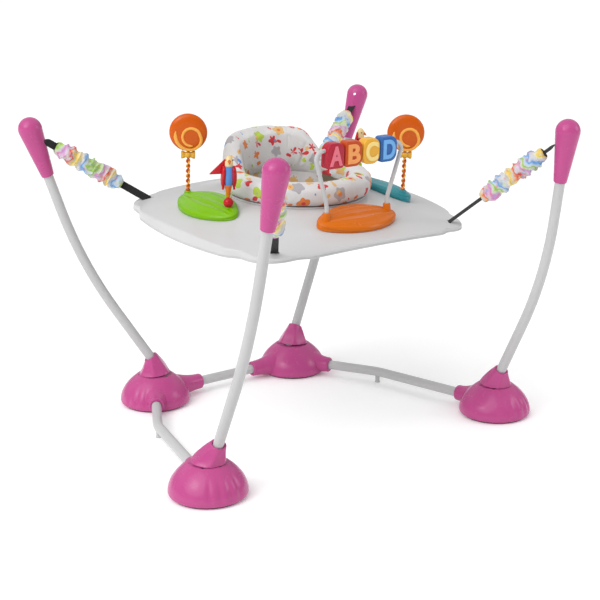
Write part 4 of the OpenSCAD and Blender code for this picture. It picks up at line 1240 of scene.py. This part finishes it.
# %% Bead rod
LEAN, ROD_Z, ROD_R, ROD_X, ROD_FROM = radians(18), 0.176, 0.005, 0.090, 0.006
ROD_UP, LOW_BEND_R, TOP_BEND_R, BEND_STEPS = 0.030, 0.070, 0.018, 14
lean_len = (ROD_Z - ROD_FROM - ROD_UP - LOW_BEND_R * sin(LEAN) - TOP_BEND_R * (1 + sin(LEAN))) / cos(LEAN)
rod_half = ROD_X + LOW_BEND_R * (1 - cos(LEAN)) + lean_len * sin(LEAN) - TOP_BEND_R * cos(LEAN)
half_walk = [(ROD_UP, 0), (LOW_BEND_R, LEAN), (lean_len, 0), (TOP_BEND_R, -pi / 2 - LEAN)]
x, z, heading = ROD_X, ROD_FROM, 0.0
line = [(x, z, heading)]
for size, bend in half_walk + [(2 * rod_half, 0)] + half_walk[::-1]:
    count = BEND_STEPS if bend else 1
    part = bend / count / 2
    length = abs(2 * size * sin(part)) if bend else size
    for _ in range(count):
        heading += part
        x, z = x + length * sin(heading), z + length * cos(heading)
        heading += part
        line.append((x, z, heading))
rod_place = toy_frame("front") @ spun(90)
bm = bmesh.new()
rings_through(bm, [round_ring(rod_place @ shift(x, 0, z) @ Matrix.Rotation(h, 4, "Y"), ROD_R)
                   for x, z, h in line], 28, (True, True))
piece("bead_arch", bm, white_paint, "tray", ["bead_rod"], "white_tube")
print("rod ends at", round(line[-1][0], 4), round(line[-1][1], 4))

# %% Letters
LETTER_W, LETTER_H = 0.036, 0.046


def letter_mesh(bm, letter, place):
    """A raised letter from the built-in font, set on a face of the bead."""
    curve = bpy.data.curves.new("letter", "FONT")
    curve.body = letter
    curve.size, curve.extrude, curve.offset = 0.058, 0.0016, 0.0012
    curve.bevel_depth, curve.bevel_resolution, curve.resolution_u = 0.0010, 2, 6
    curve.align_x, curve.align_y = "CENTER", "CENTER"
    holder = bpy.data.objects.new("letter", curve)
    scene.collection.objects.link(holder)
    mesh = settled(holder)
    xs, ys = [v.co.x for v in mesh.vertices], [v.co.y for v in mesh.vertices]
    fit = Matrix.Diagonal((LETTER_W / (max(xs) - min(xs)), LETTER_H / (max(ys) - min(ys)), 1, 1))
    mesh.transform(place @ fit @ shift(-(max(xs) + min(xs)) / 2, -(max(ys) + min(ys)) / 2))
    before = len(bm.faces)
    bm.from_mesh(mesh)
    bm.faces.ensure_lookup_table()
    for face in bm.faces[before:]:
        face.material_index = 1
    bpy.data.objects.remove(holder)
    bpy.data.curves.remove(curve)
    bpy.data.meshes.remove(mesh)


print("letters are", LETTER_H, "m tall")

# %% Letter beads
BEAD_HALF = Vector((0.013, 0.02475, 0.030))
BEAD_PITCH, BORE_UP, BORE_R, FACE_X = 0.052, 0.012, 0.0051, 0.0134
BEAD_CORNERS = ((-1, 1), (1, 1), (1, -1), (-1, -1))
BEADS = {"a": ((0.45, 0.015, 0.04), (0.80, 0.18, 0.24), (0.019, 0.019, 0.008, 0.008)),
         "b": ((0.55, 0.07, 0.01), (0.88, 0.35, 0.10), (0.008, 0.018, 0.018, 0.008)),
         "c": ((0.80, 0.42, 0.04), (0.90, 0.70, 0.25), (0.019, 0.019, 0.019, 0.019)),
         "d": ((0.03, 0.13, 0.40), (0.16, 0.42, 0.80), (0.008, 0.019, 0.019, 0.008))}


def on_corner(edge, sy, sz):
    return all(abs(v.co.y - sy * BEAD_HALF.y) < 1e-5 and abs(v.co.z - sz * BEAD_HALF.z) < 1e-5
               for v in edge.verts)


def on_face(edge):
    one, two = (v.co.x for v in edge.verts)
    return all(abs(abs(x) - BEAD_HALF.x) < 1e-6 for x in (one, two)) and one * two > 0


for k, (letter, (dark, pale, rounds)) in enumerate(BEADS.items()):
    place = toy_frame("front") @ shift(0, (k - 1.5) * BEAD_PITCH, ROD_Z - BORE_UP)
    bm = bmesh.new()
    block(bm, shift(), 2 * BEAD_HALF, 0)
    for (sy, sz), radius in zip(BEAD_CORNERS, rounds):
        round_over(bm, [e for e in bm.edges if on_corner(e, sy, sz)], radius, 9)
    round_over(bm, [e for e in bm.edges if on_face(e)], 0.0030, 4)
    bmesh.ops.transform(bm, matrix=place, verts=bm.verts)
    finishes = [moulded(f"bead_{letter}_side", dark, 0.24, coat=0.15),
                moulded(f"bead_{letter}_face", pale, 0.26, coat=0.15)]
    bead = piece("letter_bead_" + letter, bm, finishes, "bead_" + letter, ["bead_" + letter],
                 "orange_plastic", 40)
    cutter = bmesh.new()
    turned(cutter, place @ shift(0, -0.030, BORE_UP) @ spun(-90, "X"), [(BORE_R, 0), (BORE_R, 0.060)],
           28, (True, True))
    carve(bead, cutter)
    bm = bmesh.new()
    bm.from_mesh(bead.data)
    for turn in (90, -90):
        letter_mesh(bm, letter.upper(), place @ spun(turn) @ shift(0, -FACE_X) @ spun(90, "X"))
    bm.to_mesh(bead.data)
    bm.free()
    bead.data.set_sharp_from_angle(angle=radians(40))
print("beads:", ", ".join(BEADS))

# %% [markdown]
# ## Lollipops
#
# A puffed disc turns on a twisted stick, with a moulded bow under it. The disc is turned from one
# profile. Its swirl is a raised band that runs once round an off-centre circle and then opens out to
# the rim. The stick is two strands wound round each other: each is a circle spun with a rise.

# %% Swirl
POP_TURN, POP_Z, POP_R, POP_T, PUFF = -36, 0.164, 0.046, 0.024, 0.55
SWIRL_STEPS, SWIRL_FROM, SWIRL_TURN, SWIRL_ROUND = 96, -80, 480, 270
SWIRL_AT, SWIRL_R, SWIRL_OPEN = Vector((0.0085, -0.0097, 0)), 0.0215, 0.0185
SWIRL_W, SWIRL_WIDER, SWIRL_H = 0.0028, 0.0018, 0.0019


def disc_height(r):
    return POP_T / 2 * sqrt(max(0.0, 1 - (min(r, POP_R * 0.999) / POP_R) ** (2 / PUFF)))


def swirl_band(bm, place):
    spots = []
    for i in range(SWIRL_STEPS + 1):
        swept = SWIRL_TURN * i / SWIRL_STEPS
        grow = max(0.0, (swept - SWIRL_ROUND) / (SWIRL_TURN - SWIRL_ROUND))
        spots.append(SWIRL_AT + polar(SWIRL_R + SWIRL_OPEN * grow ** 0.9, radians(SWIRL_FROM - swept)))
    rings = []
    for i, p in enumerate(spots):
        ahead = (spots[min(i + 1, SWIRL_STEPS)] - spots[max(i - 1, 0)]).normalized()
        taper = min(1.0, 0.25 + i / 5, 0.25 + (SWIRL_STEPS - i) / 5)
        side = Vector((ahead.y, -ahead.x, 0)) * (SWIRL_W + SWIRL_WIDER * i / SWIRL_STEPS) * taper
        on_disc = p + UP * disc_height(p.xy.length)
        rings.append(lambda a, p=on_disc, side=side: place @ (p + side * cos(a) + UP * SWIRL_H * sin(a)))
    rings_through(bm, rings, 14, (True, True))


print("swirl turns", SWIRL_TURN, "degrees")

# %% Lollipop
BOW_Z = POP_Z - POP_R - 0.009
STRAND_FROM, STRAND_OUT, STRAND_R, STRAND_TURNS = 0.0215, 0.0026, 0.0030, 3.5
PIN = mm((3.6, 4), (3.9, 6), (3.9, 20.2), (5.8, 20.6), (6, 22.5), (5, 24.5))
KNOT = mm((4.2, -6.6), (7, -6), (8.4, -3.8), (8.8, 0), (8.4, 3.8), (7, 6), (4.2, 6.6))
BOW_LOOP = mm((4, 5, 4), (8, 7.2, 5), (12, 9, 5.8), (15, 9.6, 6), (16.6, 9, 5.4), (17.1, 7.6, 4.2),
              (16, 5.6, 2.8), (13.5, 3, 1.4))
disc_arc = [radians(-89.6 + 179.2 * i / 40) for i in range(41)]
disc_profile = [(POP_R * max(0.0, cos(a)) ** PUFF, POP_T / 2 * sin(a)) for a in disc_arc]


def bow_ring(bow, along, tall, deep):
    """A creased oval across a loop of the bow."""
    return lambda a: bow @ Vector((along, deep * sin(a) * (1 + 0.12 * cos(6 * a)),
                                   tall * cos(a) * (1 + 0.05 * cos(6 * a))))


for label in SIDES:
    body = "lollipop_" + label
    post = toy_frame(label) @ shift(*POP_POST)
    facing = spun(POP_TURN - TOY_TURN[label])
    disc = post @ shift(z=POP_Z) @ facing @ spun(90, "X")
    bm = bmesh.new()
    turned(bm, disc, disc_profile, 80, (True, True))
    piece(body + "_disc", bm, candy_plastic, body, [body], "candy_plastic", 180)
    bm = bmesh.new()
    swirl_band(bm, disc)
    swirl_band(bm, disc @ spun(180, "Y"))
    piece(body + "_swirl", bm, swirl_plastic, body, slot="yellow_plastic", sharp=180)
    for strand, finish, nodes in ((0, candy_plastic, ["stalk_" + label]), (180, swirl_plastic, ())):
        bm = bmesh.new()
        wound(bm, post @ spun(strand) @ shift(z=STRAND_FROM), STRAND_OUT, STRAND_R, 12, STRAND_TURNS, 96,
              BOW_Z - 0.0225)
        bmesh.ops.holes_fill(bm, edges=bm.edges[:], sides=0)
        piece(f"{body}_strand_{strand}", bm, finish, body, nodes, "candy_plastic", 180)
    bm = bmesh.new()
    turned(bm, post, PIN, 24, (True, True))
    turned(bm, post, [(0.0039, BOW_Z - 0.006), (0.0039, POP_Z - POP_R + 0.004)], 24, (True, True))
    piece(body + "_pin", bm, candy_plastic, body, slot="candy_plastic")
    bow = post @ shift(z=BOW_Z) @ facing
    bm = bmesh.new()
    turned(bm, bow, KNOT, 28)
    for side in ENDS:
        rings_through(bm, [bow_ring(bow, side * along, tall, deep) for along, tall, deep in BOW_LOOP], 36,
                      (True, True))
    piece(body + "_bow", bm, yellow_plastic, body, ["bow_" + label], "yellow_plastic", 50)
print("lollipops stand", POP_Z, "m above the tray")

# %% [markdown]
# ## Birds
#
# A small moulded bird stands upright on a red ball: a pale head with a beak, a blue back, an orange
# tail and red wings. Body, head and tail are ovals swept up one line and bent a little, which gives
# a rounder bird than a turned one. The folded wings are flattened drops with shallow ribs, and a
# stiff third wing stands out to one side.

# %% Bird parts
BIRD = {
    "tail": (orange_plastic, "orange_plastic", 60, mm(
        (0, 43, 3, 3), (1, 50, 4.6, 4.8), (1, 60, 6.4, 6.8), (0, 70, 7.8, 8.2), (0, 76, 8.6, 9))),
    "body": (blue_plastic, "yellow_plastic", 60, mm(
        (0, 72, 8, 8.8), (0, 80, 10.4, 12), (0, 88, 12.4, 14), (0, 96, 13.2, 15),
        (0, 104, 12.8, 14.4), (0, 112, 11.4, 12.6), (0, 118, 10.4, 11))),
    "head": (cream_plastic, "yellow_plastic", 180, mm(
        (0, 116, 10.4, 10.8), (0, 121, 9.6, 10.4), (-0.6, 127, 9.4, 10.4), (-1, 133, 8.8, 9.8),
        (-1, 138, 7, 7.8), (-0.8, 141.5, 4.6, 5.2), (-0.6, 143.2, 1.8, 2.2))),
}
BEAK = mm((0, -2, 4.2, 4), (0, 3, 3.6, 3.4), (-1.2, 7, 2.2, 2), (-3, 9.5, 0.6, 0.6))
OPEN_WING = mm((-7, 3.5, 136), (-47, 3.5, 96), (-10, 3.5, 98))
BEAK_AT, EYE_AT, WING_AT, LEAF_AT = mm((0, -8.5, 131), (8, -5.8, 133), (11.2, -3, 119), (8.5, 0, 56))
WING_SIZE, LEAF_SIZE = mm((58, 12.5, 5.2), (22, 5, 1.2))
EYE_R = 0.0014
BIRD_TURN = {"right": 150, "left": 35}
PERCH_R, PERCH_Z = 0.012, 0.030
perch_arc = [radians(-45 + 134 * i / 16) for i in range(17)]
perch_profile = mm((3.6, 4), (3.9, 6), (3.9, 20.4), (7.5, 20.8))
perch_profile += [(PERCH_R * cos(a), PERCH_Z + PERCH_R * sin(a)) for a in perch_arc]


def swept_ovals(place, stations, sides=32):
    """A form through ovals given as (y, z, half width, half depth)."""
    bm = bmesh.new()
    rings_through(bm, [lambda a, y=y, z=z, wide=wide, deep=deep:
                       place @ Vector((wide * cos(a), y + deep * sin(a), z))
                       for y, z, wide, deep in stations], sides, (True, True))
    return bm


def drop_wing(bm, place, long, wide, thick):
    """A flattened drop that hangs down, with ribs that deepen towards its tip."""
    def ring(t):
        half = wide * (sin(pi * min(1, t * 1.02) ** 0.62) ** 0.8 if 0 < t < 1 else 0.02) + 0.0003
        plump = thick * (0.25 + sin(pi * min(0.98, 0.08 + t)) ** 0.7)
        return lambda a: place @ Vector((plump * cos(a) * (1 + 0.22 * cos(6 * a) * t),
                                         half * sin(a) + 0.004 * t * t, -long * t))
    rings_through(bm, [ring(i / 22) for i in range(23)], 36, (True, True))


def open_wing(place):
    """A stiff spread wing: a rounded triangle that stands out to one side."""
    bm = bmesh.new()
    sheet = bm.faces.new([bm.verts.new(p) for p in OPEN_WING])
    thick = bmesh.ops.extrude_face_region(bm, geom=[sheet], use_keep_orig=True)["geom"]
    bmesh.ops.translate(bm, verts=[g for g in thick if isinstance(g, bmesh.types.BMVert)],
                        vec=(0, 0.0036, 0))
    for offset, segments, low, high in ((0.004, 5, 0.003, 1), (0.0008, 2, -1, 1e-6)):
        edges = [e for e in bm.edges if low < abs(e.verts[0].co.y - e.verts[1].co.y) < high]
        round_over(bm, edges, offset, segments)
    bmesh.ops.transform(bm, matrix=place, verts=bm.verts)
    return bm


print("bird parts:", ", ".join(BIRD))

# %% Birds
for label in SIDES:
    body = "bird_" + label
    post = toy_frame(label) @ shift(*BIRD_POST)
    facing = post @ spun(BIRD_TURN[label])
    for part, (finish, slot, sharp, stations) in BIRD.items():
        nodes = [body] if part == "body" else ()
        piece(f"{body}_{part}", swept_ovals(facing, stations), finish, body, nodes, slot, sharp)
    bm = swept_ovals(facing @ shift(*BEAK_AT) @ spun(108, "X"), BEAK, 20)
    piece(body + "_beak", bm, orange_plastic, body, slot="orange_plastic", sharp=180)
    eyes, wings, leaves = bmesh.new(), bmesh.new(), bmesh.new()
    for side in ENDS:
        bmesh.ops.create_uvsphere(eyes, u_segments=12, v_segments=8, radius=EYE_R,
                                  matrix=facing @ shift(side * EYE_AT[0], *EYE_AT[1:]))
        shoulder = facing @ shift(side * WING_AT[0], *WING_AT[1:])
        drop_wing(wings, shoulder @ spun(-2 * side, "Y"), *WING_SIZE)
    piece(body + "_eyes", eyes, black_plastic, body, slot="black_plastic", sharp=180)
    piece(body + "_wings", wings, red_plastic, body, ["wings_" + label], "red_plastic", 50)
    piece(body + "_open_wing", open_wing(facing), red_plastic, body, slot="red_plastic", sharp=50)
    bm = bmesh.new()
    turned(bm, post, perch_profile, 40, (True, True))
    piece("perch_ball_" + label, bm, red_plastic, body, ["perch_" + label], "red_plastic")
    for turn in (150, 250):
        drop_wing(leaves, post @ spun(turn) @ shift(*LEAF_AT) @ spun(8, "Y"), *LEAF_SIZE)
    piece(body + "_leaves", leaves, lime_plastic, body, slot="green_plastic", sharp=60)

# %% [markdown]
# The dressed model has to stay in the CAD model's box.
